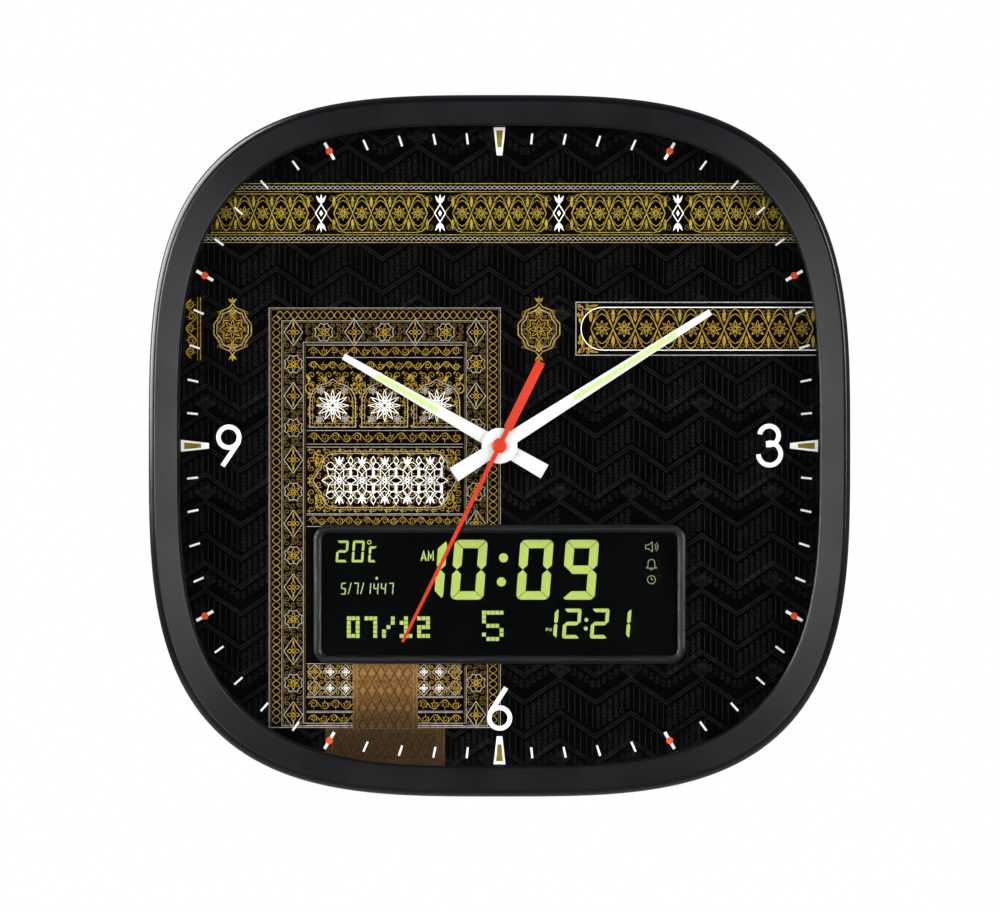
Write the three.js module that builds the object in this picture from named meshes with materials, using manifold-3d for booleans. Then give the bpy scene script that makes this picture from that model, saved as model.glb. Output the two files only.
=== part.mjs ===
import * as THREE from 'three';
import { mergeVertices } from 'three/addons/utils/BufferGeometryUtils.js';
import Module from 'manifold-3d';

// A squircle wall clock with three hands over a printed dial and a liquid crystal display below
// them, with its quartz movement, loudspeaker, batteries, buttons and boards. Millimetres.
// The clock is laid out on its back: x to the viewer's right, y up the dial, and z from the wall
// towards the viewer, from the hands' axis on the wall plane. The last lines stand it up.

// Case outline |x/a|^n + |y/a|^n = 1, and the gaps that every fit uses
const caseHalfWidth = 165;
const outlineExponent = 3.3;
const outlineSides = 48;
const cornerSegments = 4;
const clearance = 0.3;
const runningClearance = 0.25;
const pressClearance = 0.15;
const cutOverrun = 1;

// Front bezel, with the rib that holds the glass, spacer and dial
const bezelWall = 2.6;
const bezelDraft = 1.2;
const bezelRearEdge = 4;
const bezelFaceWidth = 14.6;
const bezelFaceFall = 0.8;
const bezelEdgeRadius = 4.2;
const bezelEdgeSteps = 3;
const bezelChamfer = 1;
const bezelLipDepth = 3.2;
const glassOverlap = 2.4;
const ribThickness = 1.8;

// Glass, spacer, printed sheet and dial plate
const glassThickness = 2;
const spacerHeight = 10;
const spacerWidth = 2;
const sheetThickness = 0.5;
const plateThickness = 2;

// Back cover
const coverThickness = 2.2;
const coverHeight = 7.7;
const coverWall = 2;
const coverChamfer = 1.6;
const supportRadius = 3;
const supportInset = 43;
const supportX = caseHalfWidth - supportInset;
const supportY = 70;
const wellWall = 1.4;
const wellHeight = 8;

// Keyhole for the wall hook
const keyholeInset = 45;
const keyholeHeight = caseHalfWidth - keyholeInset;
const keyholeRadius = 5;
const keyholeSlotWidth = 5;
const keyholeSlotLength = 12;

// Case screws on the outline's diagonals, and their bosses
const bossRadius = 4;
const bossMargin = 0.6;
const bossSides = 10;
const screwSeatDepth = 4.5;
const screwHeadRadius = 2.5;
const screwHeadHeight = 1.8;
const screwRecessWidth = 0.9;
const screwRecessDepth = 0.9;
const screwShankRadius = 1.3;
const screwLength = 12;
const screwSides = 8;

// Display: rim, lens, panel, light guide, carrier and main board
const displayDrop = 69.9;
const rimWidth = 175;
const rimHeight = 65.3;
const rimCornerRadius = 6.1;
const rimBand = 3.5;
const rimRise = 2;
const rimBevel = 0.7;
const rimSleeveWall = 1.2;
const rimSleeveDepth = 3.8;
const rimLedge = 1.5;
const rimLedgeThickness = 2;
const lensThickness = 2.4;
const openingWidth = rimWidth - 2 * rimBand;
const openingHeight = rimHeight - 2 * rimBand;
const panelSideMargin = 2;
const panelEndMargin = 3.15;
const panelWidth = openingWidth - 2 * panelSideMargin;
const panelHeight = openingHeight - 2 * panelEndMargin;
const panelThickness = 2.8;
const lightSideMargin = 4;
const lightEndMargin = 5;
const lightGuideWidth = panelWidth - 2 * lightSideMargin;
const lightGuideHeight = panelHeight - 2 * lightEndMargin;
const lightGuideThickness = 3;
const lightLedge = 3;
const carrierMargin = 0.5;
const carrierWidth = rimWidth + 2 * carrierMargin;
const carrierHeight = rimHeight + 2 * carrierMargin;
const carrierDepth = 10.7;
const carrierCornerRadius = 3;
const stripMargin = 7;
const stripLength = panelWidth - 2 * stripMargin;
const stripWidth = 2.2;
const stripInset = 1.6;
const mainBoardMargin = 2;
const mainBoardWidth = carrierWidth - 2 * mainBoardMargin;
const mainBoardHeight = carrierHeight - 2 * mainBoardMargin;
const boardThickness = 1.6;
const chipSide = 14;
const chipThickness = 1.4;
const chipX = -20;
const crystalRadius = 1.5;
const crystalLength = 6.5;
const crystalX = 6;
const crystalSides = 12;

// Loudspeaker, facing the wall through the back cover's grille
const besideShare = 0.4727;
const aboveShare = 0.2909;
const speakerX = -besideShare * caseHalfWidth;
const speakerY = aboveShare * caseHalfWidth;
const speakerRadius = 28.5;
const speakerRimThickness = 1.8;
const speakerSeatWidth = 4.5;
const speakerSeatDepth = 1.1;
const speakerDepth = 11.5;
const speakerBackRadius = 14.5;
const speakerCoilRadius = 6;
const speakerWall = 1.2;
const speakerSides = 24;
const coneDepth = 6.8;
const coneNeckRadius = 6.6;
const coneThickness = 0.6;
const coneRollWidth = 2.2;
const dustCapDip = 1.8;
const dustCapRadius = 3.8;
const magnetRadius = 14;
const magnetThickness = 6;
const clampRingWidth = 5.5;
const clampRingThickness = 1.5;
const collarWall = 1.5;
const grilleRadius = 22;
const grillePitch = 5;
const grilleSlotWidth = 2.4;
const grilleSlotsEachSide = 4;

// Round cells, one size for the display and the movement
const cellRadius = 7.15;
const cellLength = 50.5;
const cellNubRadius = 2.7;
const cellNubHeight = 1;
const cellSides = 16;

// Cell bay of the display, its door and its contacts
const bayX = besideShare * caseHalfWidth;
const bayY = aboveShare * caseHalfWidth;
const bayCells = 3;
const bayCellGap = 0.5;
const bayWall = 2.4;
const bayFloor = 1.6;
const doorThickness = 1.8;
const doorLedge = 1.2;
const contactThickness = 0.4;
const contactWidth = 10;
const contactRise = 1.5;
const springRadius = 3.4;
const springTipRadius = 2;
const springHeight = 3.2;
const springSides = 8;

// Controls on the back: buttons, volume switch, their board and the adapter jack
const controlsInset = 37;
const controlsDrop = caseHalfWidth - controlsInset;
const keyBoardWidth = 132;
const buttonRadius = 4.2;
const buttonPitchShare = 0.1515;
const buttonPitch = buttonPitchShare * keyBoardWidth;
const buttonRowInset = 16;
const buttonRowX = buttonRowInset - keyBoardWidth / 2;
const buttonRecess = 0.4;
const buttonFlange = 1.4;
const buttonFlangeThickness = 1;
const buttonHeight = 6.5;
const buttonChamfer = 0.6;
const buttonSides = 16;
const volumeInset = 20;
const volumeX = keyBoardWidth / 2 - volumeInset;
const volumeTravel = 3;
const volumeGripWidth = 5;
const volumeGripHeight = 3.6;
const volumeRecess = 0.6;
const volumeFlangeMargin = 2.2;
const volumeStemHeight = 1.4;
const volumeSwitchWidth = 18;
const volumeSwitchHeight = 8;
const keyBoardRear = 8.5;
const keyBoardRise = 14;
const keyBoardMargin = 1;
const keyPostRadius = 2.5;
const keyPostInset = 6;
const keyPostDrop = 8;
const keyPostX = keyBoardWidth / 2 - keyPostInset;
const jackInset = 26;
const jackX = keyBoardWidth / 2 - jackInset;
const jackWidth = 9;
const jackLength = 12;
const jackHeight = 10;
const jackNoseRadius = 3.9;
const jackBoreRadius = 2.75;
const jackBoreDepth = 9;
const jackPinRadius = 1;
const jackSides = 16;

// Movement cases and fixing
const movementWall = 1.2;
const movementSlack = 1.1;
const movementWidth = cellLength + springHeight + 2 * (contactThickness + movementWall) + movementSlack;
const movementHeight = 56;
const movementDepth = 2 * cellRadius + movementWall + 3 * clearance;
const movementStandoff = 10.4;
const movementCornerRadius = 2;
const bushingRadius = 3.9;
const washerRadius = 6.5;
const washerThickness = 0.5;
const nutAcrossFlats = 10;
const nutThickness = 1.8;
const bushingRise = 0.4;
const roundSides = 16;

// Gear train: centre distances, teeth, and tooth form in modules and shares of the pitch
const rotorDistance = 5.94;
const intermediateDistance = 7.56;
const thirdDistance = 9.18;
const motionDistance = 11;
const rotorPinionTeeth = 6;
const intermediateTeeth = 30;
const intermediatePinionTeeth = 6;
const secondTeeth = 36;
const secondPinionTeeth = 6;
const thirdTeeth = 45;
const thirdPinionTeeth = 6;
const minuteTeeth = 48;
const cannonTeeth = 8;
const motionTeeth = 24;
const motionPinionTeeth = 8;
const hourTeeth = 32;
const addendumShare = 0.8;
const dedendumShare = 1;
const toothTipShare = 0.25;
const toothRootShare = 0.5;
const rotorAngle = THREE.MathUtils.degToRad(120);
const intermediateAngle = Math.PI;
const thirdAngle = 0;
const motionAngle = Math.PI / 2;
const arborSides = 8;
const wheelThickness = 0.8;
const levelPitch = 1.6;
const trainEntry = 1;
const pinionOverhang = 0.3;
const arborRadius = 0.6;
const cannonRadius = 1.6;
const hourTubeRadius = 2.6;
const motionShaftRadius = 1;
const bridgeThickness = 1;
const bridgeGap = 1;
const bridgeLeft = 18;
const bridgeRight = 21;
const bridgeBottom = 9.6;
const bridgeTop = 13.5;
const bridgeLegRadius = 1.5;
const bridgeLegInset = 1.7;
const settingKnobRadius = 4.6;
const settingKnobRecess = 1;
const settingKnobLength = 8.6;
const settingKnobSides = 16;
const knobHoleMargin = 1.2;

// Stepping motor and the movement's board
const magnetRotorRadius = 2.7;
const magnetRotorHeight = 3;
const statorLift = 0.6;
const statorThickness = 0.8;
const statorWidth = 3.2;
const statorRingRadius = 4.8;
const statorBore = 3.1;
const statorInset = 4.5;
const statorLeft = movementWidth / 2 - statorInset;
const statorRight = 3.2;
const coilDistance = 20.5;
const coilRadius = 3.9;
const coilWindingRadius = 3.4;
const coilFlange = 0.8;
const coilCoreWidth = 3;
const coilCoreThickness = 0.8;
const coilSides = 12;
const movementBoardInset = 3;
const movementBoardWidth = 20;
const movementBoardX = (movementWidth - movementBoardWidth) / 2 - movementBoardInset;
const movementBoardY = 20.5;
const movementBoardHeight = 11;
const movementBoardThickness = 0.8;

// Window in the back cover over the movement's cell
const windowMargin = 2;
const windowWidth = movementWidth + 2 * windowMargin;
const windowTop = 9;
const windowBottom = 30;

// Hands, by their length from the axis, tail and widths
const handThickness = 0.5;
const handGap = 1.1;
const hubSides = 24;
const hourHubRadius = 8.2;
const hourLength = 84.6;
const hourTail = 24.5;
const hourRootWidth = 7;
const hourTipWidth = 4.2;
const minuteHubRadius = 8.4;
const minuteLength = 117.5;
const minuteTail = 25.4;
const minuteRootWidth = 6.4;
const minuteTipWidth = 4.1;
const secondBossRadius = 3.5;
const secondBossHeight = 1.6;
const secondLength = 103;
const secondRootWidth = 2.2;
const secondTipWidth = 1.4;
const counterweightStart = 9;
const counterweightEnd = 44;
const counterweightWidth = 4.3;
const hourAngle = THREE.MathUtils.degToRad(299.8);
const minuteAngle = THREE.MathUtils.degToRad(58.1);
const secondAngle = THREE.MathUtils.degToRad(206.3);

// Levels above the wall plane, worked out from the movement towards the front
const movementRear = movementStandoff;
const movementFront = movementRear + movementDepth;
const plateRear = movementFront + clearance;
const plateFront = plateRear + plateThickness;
const sheetRear = plateFront + clearance;
const sheetFront = sheetRear + sheetThickness;
const spacerRear = sheetFront + clearance;
const spacerFront = spacerRear + spacerHeight;
const glassRear = spacerFront + clearance;
const glassFront = glassRear + glassThickness;
const lipRear = glassFront + clearance;
const caseDepth = lipRear + bezelLipDepth;
const movementFloor = movementRear + movementWall;
const movementCeiling = movementFront - movementWall;

// Gear levels, from the wall towards the viewer
const intermediateLevel = movementFloor + trainEntry;
const secondLevel = intermediateLevel + levelPitch;
const thirdLevel = secondLevel + levelPitch;
const bridgeRear = thirdLevel + wheelThickness + bridgeGap;
const bridgeFront = bridgeRear + bridgeThickness;
const minuteLevel = bridgeFront + bridgeGap;
const motionLevel = minuteLevel + levelPitch;
const hourLevel = motionLevel + levelPitch;
const arborRear = movementFloor + clearance;

// Levels of the fixing and the hands in front of the dial
const washerRear = sheetFront + clearance;
const nutRear = washerRear + washerThickness + clearance;
const bushingFront = nutRear + nutThickness + bushingRise;
const hourHandRear = bushingFront + clearance;
const hourTubeFront = hourHandRear + handThickness + clearance;
const minuteHandRear = hourHandRear + handThickness + handGap;
const cannonFront = minuteHandRear + handThickness + clearance;
const secondHandRear = minuteHandRear + handThickness + handGap;
const secondArborFront = secondHandRear + handThickness;

// Radii that fit each other round the hands' axis
const cannonBore = arborRadius + runningClearance;
const hourTubeBore = cannonRadius + runningClearance;
const bushingBore = hourTubeRadius + runningClearance;

// Half-widths of the squircle pieces
const coverHalfWidth = caseHalfWidth - bezelDraft - bezelWall - clearance;
const glassHalfWidth = caseHalfWidth - bezelFaceWidth + glassOverlap;
const ribInner = glassHalfWidth + clearance;
const ribOuter = ribInner + ribThickness;
const bossRear = coverHeight + clearance;

const wasm = await Module();
wasm.setup();

// A closed geometry as a solid that can be joined and cut.
function toSolid(geometry) {
  const bare = geometry.clone();
  bare.deleteAttribute('normal');
  bare.deleteAttribute('uv');
  const merged = mergeVertices(bare);
  return new wasm.Manifold(new wasm.Mesh({
    numProp: 3,
    vertProperties: new Float32Array(merged.attributes.position.array),
    triVerts: new Uint32Array(merged.index.array),
  }));
}

// The solid's surface as a geometry.
function toGeometry(solid) {
  const mesh = solid.getMesh();
  const geometry = new THREE.BufferGeometry();
  geometry.setAttribute('position', new THREE.BufferAttribute(mesh.vertProperties, 3));
  geometry.setIndex(new THREE.BufferAttribute(mesh.triVerts, 1));
  geometry.computeVertexNormals();
  return geometry;
}

function join(...geometries) {
  const whole = geometries.map(toSolid).reduce((sum, solid) => sum.add(solid));
  return toGeometry(whole);
}

function cut(geometry, ...tools) {
  const whole = tools.map(toSolid).reduce((rest, tool) => rest.subtract(tool), toSolid(geometry));
  return toGeometry(whole);
}

// The squircle's point for an angle round a circle, for a half-width of one.
function squirclePoint(angle) {
  const power = 2 / outlineExponent;
  return [Math.cos(angle), Math.sin(angle)].map((part) => Math.sign(part) * Math.abs(part) ** power);
}

// The squircle's height above the x axis at a distance along it.
function squircleHeight(halfWidth, x) {
  return halfWidth * (1 - Math.abs(x / halfWidth) ** outlineExponent) ** (1 / outlineExponent);
}

// A profile of [radius, height] points turned about the z axis.
function turned(profile, sides) {
  const points = profile.map(([radius, height]) => new THREE.Vector2(radius, height));
  return new THREE.LatheGeometry(points, sides).rotateX(Math.PI / 2);
}

// A profile of [half-width, height] points swept round the case outline.
function squircle(profile) {
  const geometry = turned(profile, outlineSides);
  const place = geometry.attributes.position;
  for (let i = 0; i < place.count; i += 1) {
    const [x, y] = squirclePoint(Math.atan2(place.getY(i), place.getX(i)));
    const halfWidth = Math.hypot(place.getX(i), place.getY(i));
    place.setXY(i, x * halfWidth, y * halfWidth);
  }
  geometry.computeVertexNormals();
  return geometry;
}

function squirclePlate(halfWidth, rear, front) {
  return squircle([[0, rear], [halfWidth, rear], [halfWidth, front], [0, front]]);
}

function cylinder(radius, rear, front, sides = roundSides) {
  return turned([[0, rear], [radius, rear], [radius, front], [0, front]], sides);
}

function ring(inner, outer, rear, front, sides = roundSides) {
  return turned([[inner, rear], [outer, rear], [outer, front], [inner, front], [inner, rear]], sides);
}

function prism(shape, rear, front) {
  const options = { depth: front - rear, bevelEnabled: false, curveSegments: cornerSegments };
  const geometry = new THREE.ExtrudeGeometry(shape, options);
  return geometry.translate(0, 0, rear);
}

function polygon(points) {
  return new THREE.Shape(points.map(([x, y]) => new THREE.Vector2(x, y)));
}

// A box between two corners.
function block(left, bottom, rear, right, top, front) {
  const geometry = new THREE.BoxGeometry(right - left, top - bottom, front - rear);
  return geometry.translate((left + right) / 2, (bottom + top) / 2, (rear + front) / 2);
}

// A box centred on x and y, from rear to front.
function slab(width, height, rear, front, x = 0, y = 0) {
  return block(x - width / 2, y - height / 2, rear, x + width / 2, y + height / 2, front);
}

function roundedRectangle(width, height, radius) {
  const shape = new THREE.Shape();
  const right = width / 2 - radius;
  const top = height / 2 - radius;
  shape.absarc(right, top, radius, 0, Math.PI / 2);
  shape.absarc(-right, top, radius, Math.PI / 2, Math.PI);
  shape.absarc(-right, -top, radius, Math.PI, 1.5 * Math.PI);
  shape.absarc(right, -top, radius, 1.5 * Math.PI, 2 * Math.PI);
  return shape;
}

// A rounded slab centred on x and y, from rear to front.
function roundedSlab(width, height, radius, rear, front, x = 0, y = 0) {
  return prism(roundedRectangle(width, height, radius), rear, front).translate(x, y, 0);
}

const clock = new THREE.Group();

function finish(color, roughness, metalness) {
  return new THREE.MeshStandardMaterial({ color, roughness, metalness });
}

function addPiece(name, geometry, material, x = 0, y = 0) {
  const mesh = new THREE.Mesh(geometry, material);
  mesh.name = name;
  mesh.position.set(x, y, 0);
  clock.add(mesh);
  return mesh;
}

// Front bezel

function roundedEdge(centreWidth, centreHeight, radius) {
  const points = [];
  for (let step = 0; step <= bezelEdgeSteps; step += 1) {
    const angle = (step / bezelEdgeSteps) * (Math.PI / 2);
    points.push([centreWidth + radius * Math.cos(angle), centreHeight + radius * Math.sin(angle)]);
  }
  return points;
}

// The four places on the outline's diagonals where a screw joins cover and bezel.
const coverCorner = coverHalfWidth * Math.hypot(...squirclePoint(Math.PI / 4));
const bossDistance = coverCorner - bossRadius - bossMargin;
const bossPlaces = [1, 3, 5, 7].map((eighth) => {
  const angle = (eighth * Math.PI) / 4;
  return [bossDistance * Math.cos(angle), bossDistance * Math.sin(angle)];
});

function makeBezel() {
  const innerEdge = caseHalfWidth - bezelFaceWidth;
  const shell = squircle([
    [caseHalfWidth - bezelDraft, bezelRearEdge],
    ...roundedEdge(caseHalfWidth - bezelEdgeRadius, caseDepth - bezelEdgeRadius, bezelEdgeRadius),
    [innerEdge + bezelChamfer, caseDepth - bezelFaceFall],
    [innerEdge, caseDepth - bezelFaceFall - bezelChamfer],
    [innerEdge, lipRear],
    [ribInner, lipRear],
    [ribInner, plateRear],
    [ribOuter, plateRear],
    [ribOuter, caseDepth - bezelWall],
    [caseHalfWidth - bezelEdgeRadius, caseDepth - bezelWall],
    [caseHalfWidth - bezelWall, caseDepth - bezelEdgeRadius],
    [caseHalfWidth - bezelWall - bezelDraft, bezelRearEdge],
    [caseHalfWidth - bezelDraft, bezelRearEdge],
  ]);
  const holeDepth = screwSeatDepth + screwLength + clearance;
  const bosses = bossPlaces.map(([x, y]) => (
    cylinder(bossRadius, bossRear, lipRear, bossSides).translate(x, y, 0)));
  const holes = bossPlaces.map(([x, y]) => (
    cylinder(screwShankRadius + clearance, bossRear - cutOverrun, holeDepth, screwSides)
      .translate(x, y, 0)));
  const jackHole = cylinder(jackNoseRadius + clearance, 0, bezelWall * 2, jackSides)
    .rotateX(Math.PI / 2)
    .translate(jackX, -jackWallInner + bezelWall / 2, jackAxisLevel);
  return cut(join(shell, ...bosses), ...holes, jackHole);
}

// The jack pokes through the case's bottom wall, and its level follows from the key board under it.
const wallInnerHalfWidth = caseHalfWidth - bezelWall - bezelDraft;
const keyBoardBottom = squircleHeight(wallInnerHalfWidth, keyBoardWidth / 2) - keyBoardMargin;
const keyBoardFront = keyBoardRear + boardThickness;
const jackAxisLevel = keyBoardFront + clearance + jackHeight / 2;
const jackWallInner = squircleHeight(wallInnerHalfWidth, jackX);

// Glass, spacer, dial

function displayWindow(margin, rear, front) {
  const width = rimWidth - 2 * rimBand + 2 * rimSleeveWall + 2 * margin;
  const height = rimHeight - 2 * rimBand + 2 * rimSleeveWall + 2 * margin;
  return roundedSlab(width, height, rimBand + margin, rear, front, 0, -displayDrop);
}

function makeDialLayer(rear, front) {
  return cut(
    squirclePlate(glassHalfWidth, rear, front),
    displayWindow(clearance, rear - cutOverrun, front + cutOverrun),
    cylinder(bushingRadius + clearance, rear - cutOverrun, front + cutOverrun),
  );
}

function makeSpacer() {
  const inner = glassHalfWidth - spacerWidth;
  return squircle([
    [inner, spacerRear],
    [glassHalfWidth, spacerRear],
    [glassHalfWidth, spacerFront],
    [inner, spacerFront],
    [inner, spacerRear],
  ]);
}

// Display

const rimFront = sheetFront + clearance + rimRise;
const rimSleeveRear = sheetFront + clearance - rimSleeveDepth;
const lensRear = rimSleeveRear + rimLedgeThickness + clearance;
const carrierFront = rimSleeveRear - clearance;
const panelRear = carrierFront - panelThickness;
const lightGuideFront = panelRear - clearance;
const lightGuideRear = lightGuideFront - lightGuideThickness;
const carrierRear = carrierFront - carrierDepth;
const mainBoardFront = carrierRear - clearance;
const mainBoardRear = mainBoardFront - boardThickness;
const stripY = -displayDrop - panelHeight / 2 + stripInset + stripWidth / 2;

function makeRim() {
  const flangeShape = roundedRectangle(
    rimWidth - 2 * rimBevel,
    rimHeight - 2 * rimBevel,
    rimCornerRadius - rimBevel,
  );
  const flange = new THREE.ExtrudeGeometry(flangeShape, {
    depth: rimRise - rimBevel,
    bevelThickness: rimBevel,
    bevelSize: rimBevel,
    bevelSegments: 1,
    curveSegments: 4,
  }).translate(0, -displayDrop, rimFront - rimRise);
  const sleeve = displayWindow(0, rimSleeveRear, rimFront - rimRise + rimBevel);
  const opening = roundedSlab(
    openingWidth,
    openingHeight,
    rimBand,
    lensRear - clearance,
    rimFront + cutOverrun,
    0,
    -displayDrop,
  );
  const ledgeOpening = slab(
    openingWidth - 2 * rimLedge,
    openingHeight - 2 * rimLedge,
    rimSleeveRear - cutOverrun,
    rimFront,
    0,
    -displayDrop,
  );
  const underside = slab(2 * rimWidth, 2 * rimHeight, 0, rimFront - rimRise, 0, -displayDrop);
  return cut(join(cut(flange, underside), sleeve), opening, ledgeOpening);
}

function makeCarrier() {
  const body = roundedSlab(
    carrierWidth,
    carrierHeight,
    carrierCornerRadius,
    carrierRear,
    carrierFront,
    0,
    -displayDrop,
  );
  const panelPocket = slab(
    panelWidth + 2 * clearance,
    panelHeight + 2 * clearance,
    panelRear - clearance,
    carrierFront + cutOverrun,
    0,
    -displayDrop,
  );
  const lightPocket = slab(
    lightGuideWidth + 2 * clearance,
    lightGuideHeight + 2 * clearance,
    lightGuideRear - clearance,
    carrierFront,
    0,
    -displayDrop,
  );
  const rearOpening = slab(
    lightGuideWidth - 2 * lightLedge,
    lightGuideHeight - 2 * lightLedge,
    carrierRear - cutOverrun,
    carrierFront,
    0,
    -displayDrop,
  );
  const stripSlot = slab(
    stripLength + 2 * clearance,
    stripWidth + 2 * clearance,
    carrierRear - cutOverrun,
    carrierFront,
    0,
    stripY,
  );
  return cut(body, panelPocket, lightPocket, rearOpening, stripSlot);
}

// Case screw, its head towards the wall
function makeScrew() {
  const headRear = screwSeatDepth - clearance - screwHeadHeight;
  const body = turned([
    [0, headRear],
    [screwHeadRadius, headRear],
    [screwHeadRadius, screwSeatDepth - clearance],
    [screwShankRadius, screwSeatDepth - clearance],
    [screwShankRadius, screwSeatDepth + screwLength - clearance],
    [0, screwSeatDepth + screwLength + clearance - screwShankRadius],
  ], screwSides);
  const recess = [[screwHeadRadius, screwRecessWidth], [screwRecessWidth, screwHeadRadius]];
  const slots = recess.map(([width, height]) => (
    slab(width * 1.5, height * 1.5, headRear - cutOverrun, headRear + screwRecessDepth)));
  return cut(body, ...slots);
}

// Back cover

const bayInnerWidth = bayCells * 2 * cellRadius + (bayCells + 1) * bayCellGap;
const contactRoom = contactThickness + 2 * clearance;
const bayInnerHeight = cellLength + springHeight + 2 * contactRoom + clearance;
const cellAxisLevel = coverThickness + bayCellGap + cellRadius;
const bayFloorRear = cellAxisLevel + cellRadius + clearance;
const doorRecess = doorThickness + clearance;

function keyholeCutters() {
  const front = coverThickness + cutOverrun;
  const slotTop = keyholeHeight + keyholeSlotLength;
  return [
    cylinder(keyholeRadius, -cutOverrun, front).translate(0, keyholeHeight, 0),
    block(-keyholeSlotWidth / 2, keyholeHeight, -cutOverrun, keyholeSlotWidth / 2, slotTop, front),
    cylinder(keyholeSlotWidth / 2, -cutOverrun, front, bossSides).translate(0, slotTop, 0),
  ];
}

function grilleCutters() {
  const cutters = [];
  for (let row = -grilleSlotsEachSide; row <= grilleSlotsEachSide; row += 1) {
    const y = row * grillePitch;
    const width = 2 * Math.sqrt(grilleRadius ** 2 - y ** 2);
    cutters.push(slab(
      width,
      grilleSlotWidth,
      -cutOverrun,
      coverThickness + cutOverrun,
      speakerX,
      speakerY + y,
    ));
  }
  return cutters;
}

const buttonPlaces = [0, 1, 2, 3].map((index) => buttonRowX + index * buttonPitch);

function controlCutters() {
  const front = coverThickness + cutOverrun;
  const holes = buttonPlaces.map((x) => (
    cylinder(buttonRadius + clearance, -cutOverrun, front, buttonSides).translate(x, -controlsDrop, 0)));
  const volumeSlot = slab(
    volumeGripWidth + 2 * volumeTravel + 2 * clearance,
    volumeGripHeight + 2 * clearance,
    -cutOverrun,
    front,
    volumeX,
    -controlsDrop,
  );
  return [...holes, volumeSlot];
}

function makeBackCover() {
  const tray = squircle([
    [0, 0],
    [coverHalfWidth - coverChamfer, 0],
    [coverHalfWidth, coverChamfer],
    [coverHalfWidth, coverHeight],
    [coverHalfWidth - coverWall, coverHeight],
    [coverHalfWidth - coverWall, coverChamfer],
    [coverHalfWidth - coverChamfer - coverWall / 2, coverThickness],
    [0, coverThickness],
  ]);
  const rootLevel = coverThickness / 2;
  const screwPosts = bossPlaces.map(([x, y]) => (
    cylinder(bossRadius, rootLevel, coverHeight, bossSides).translate(x, y, 0)));
  const supports = [[1, 1], [-1, 1], [-1, -1], [1, -1]].map(([sideX, sideY]) => (
    cylinder(supportRadius, rootLevel, plateRear - clearance, arborSides)
      .translate(sideX * supportX, sideY * supportY, 0)));
  const keyPosts = [-keyPostX, keyPostX].map((x) => (
    cylinder(keyPostRadius, rootLevel, keyBoardRear - clearance, arborSides)
      .translate(x, -controlsDrop - keyPostDrop, 0)));
  const well = block(
    -windowWidth / 2 - wellWall,
    -windowBottom - wellWall,
    rootLevel,
    windowWidth / 2 + wellWall,
    -windowTop + wellWall,
    wellHeight,
  );
  const bay = slab(
    bayInnerWidth + 2 * bayWall,
    bayInnerHeight + 2 * bayWall,
    rootLevel,
    bayFloorRear + bayFloor,
    bayX,
    bayY,
  );
  const collar = ring(
    speakerRadius + clearance,
    speakerRadius + clearance + collarWall,
    rootLevel,
    coverThickness + clearance + speakerRimThickness,
    speakerSides,
  ).translate(speakerX, speakerY, 0);
  const screwHoles = bossPlaces.flatMap(([x, y]) => [
    cylinder(screwHeadRadius + clearance, -cutOverrun, screwSeatDepth, bossSides).translate(x, y, 0),
    cylinder(screwShankRadius + clearance, 0, coverHeight + cutOverrun, screwSides).translate(x, y, 0),
  ]);
  const window = block(
    -windowWidth / 2,
    -windowBottom,
    -cutOverrun,
    windowWidth / 2,
    -windowTop,
    wellHeight + cutOverrun,
  );
  const bayHollow = slab(bayInnerWidth, bayInnerHeight, -cutOverrun, bayFloorRear, bayX, bayY);
  const doorSeat = slab(
    bayInnerWidth + 2 * doorLedge,
    bayInnerHeight + 2 * doorLedge,
    -cutOverrun,
    doorRecess,
    bayX,
    bayY,
  );
  const knobHole = cylinder(
    settingKnobRadius + knobHoleMargin,
    -cutOverrun,
    coverThickness + cutOverrun,
  ).translate(0, motionDistance, 0);
  return cut(
    join(tray, ...screwPosts, ...supports, ...keyPosts, well, bay, collar),
    ...screwHoles,
    window,
    bayHollow,
    doorSeat,
    knobHole,
    ...keyholeCutters(),
    ...grilleCutters(),
    ...controlCutters(),
  );
}

// Loudspeaker

const speakerRear = coverThickness + clearance;
const speakerRimFront = speakerRear + speakerRimThickness;
const speakerBack = speakerRear + speakerDepth;
const coneEdgeRadius = speakerRadius - speakerSeatWidth - clearance;
const coneEdgeRear = speakerRear + speakerSeatDepth - clearance - coneThickness;

function makeSpeakerFrame() {
  const seatInner = speakerRadius - speakerSeatWidth;
  const throat = seatInner - coneRollWidth;
  return turned([
    [seatInner, speakerRear],
    [speakerRadius, speakerRear],
    [speakerRadius, speakerRimFront],
    [seatInner, speakerRimFront],
    [speakerBackRadius, speakerBack],
    [speakerCoilRadius, speakerBack],
    [speakerCoilRadius, speakerBack - speakerWall],
    [speakerBackRadius - speakerWall, speakerBack - speakerWall],
    [throat, speakerRear + speakerSeatDepth],
    [seatInner, speakerRear + speakerSeatDepth],
    [seatInner, speakerRear],
  ], speakerSides);
}

function makeSpeakerCone() {
  const rollRadius = coneEdgeRadius - coneRollWidth;
  const neckLevel = coneEdgeRear + coneDepth;
  const capLevel = neckLevel - dustCapDip;
  return turned([
    [0, capLevel],
    [dustCapRadius, capLevel + coneThickness],
    [coneNeckRadius, neckLevel],
    [rollRadius, coneEdgeRear],
    [coneEdgeRadius, coneEdgeRear],
    [coneEdgeRadius, coneEdgeRear + coneThickness],
    [rollRadius, coneEdgeRear + coneThickness],
    [coneNeckRadius, neckLevel + coneThickness],
    [dustCapRadius, capLevel + 2 * coneThickness],
    [0, capLevel + coneThickness],
  ], speakerSides);
}

// Cells and their contacts

function makeCell() {
  const shoulder = cellLength - cellNubHeight;
  return turned([
    [0, 0],
    [cellRadius, 0],
    [cellRadius, shoulder],
    [cellNubRadius, shoulder],
    [cellNubRadius, cellLength],
    [0, cellLength],
  ], cellSides);
}

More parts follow.
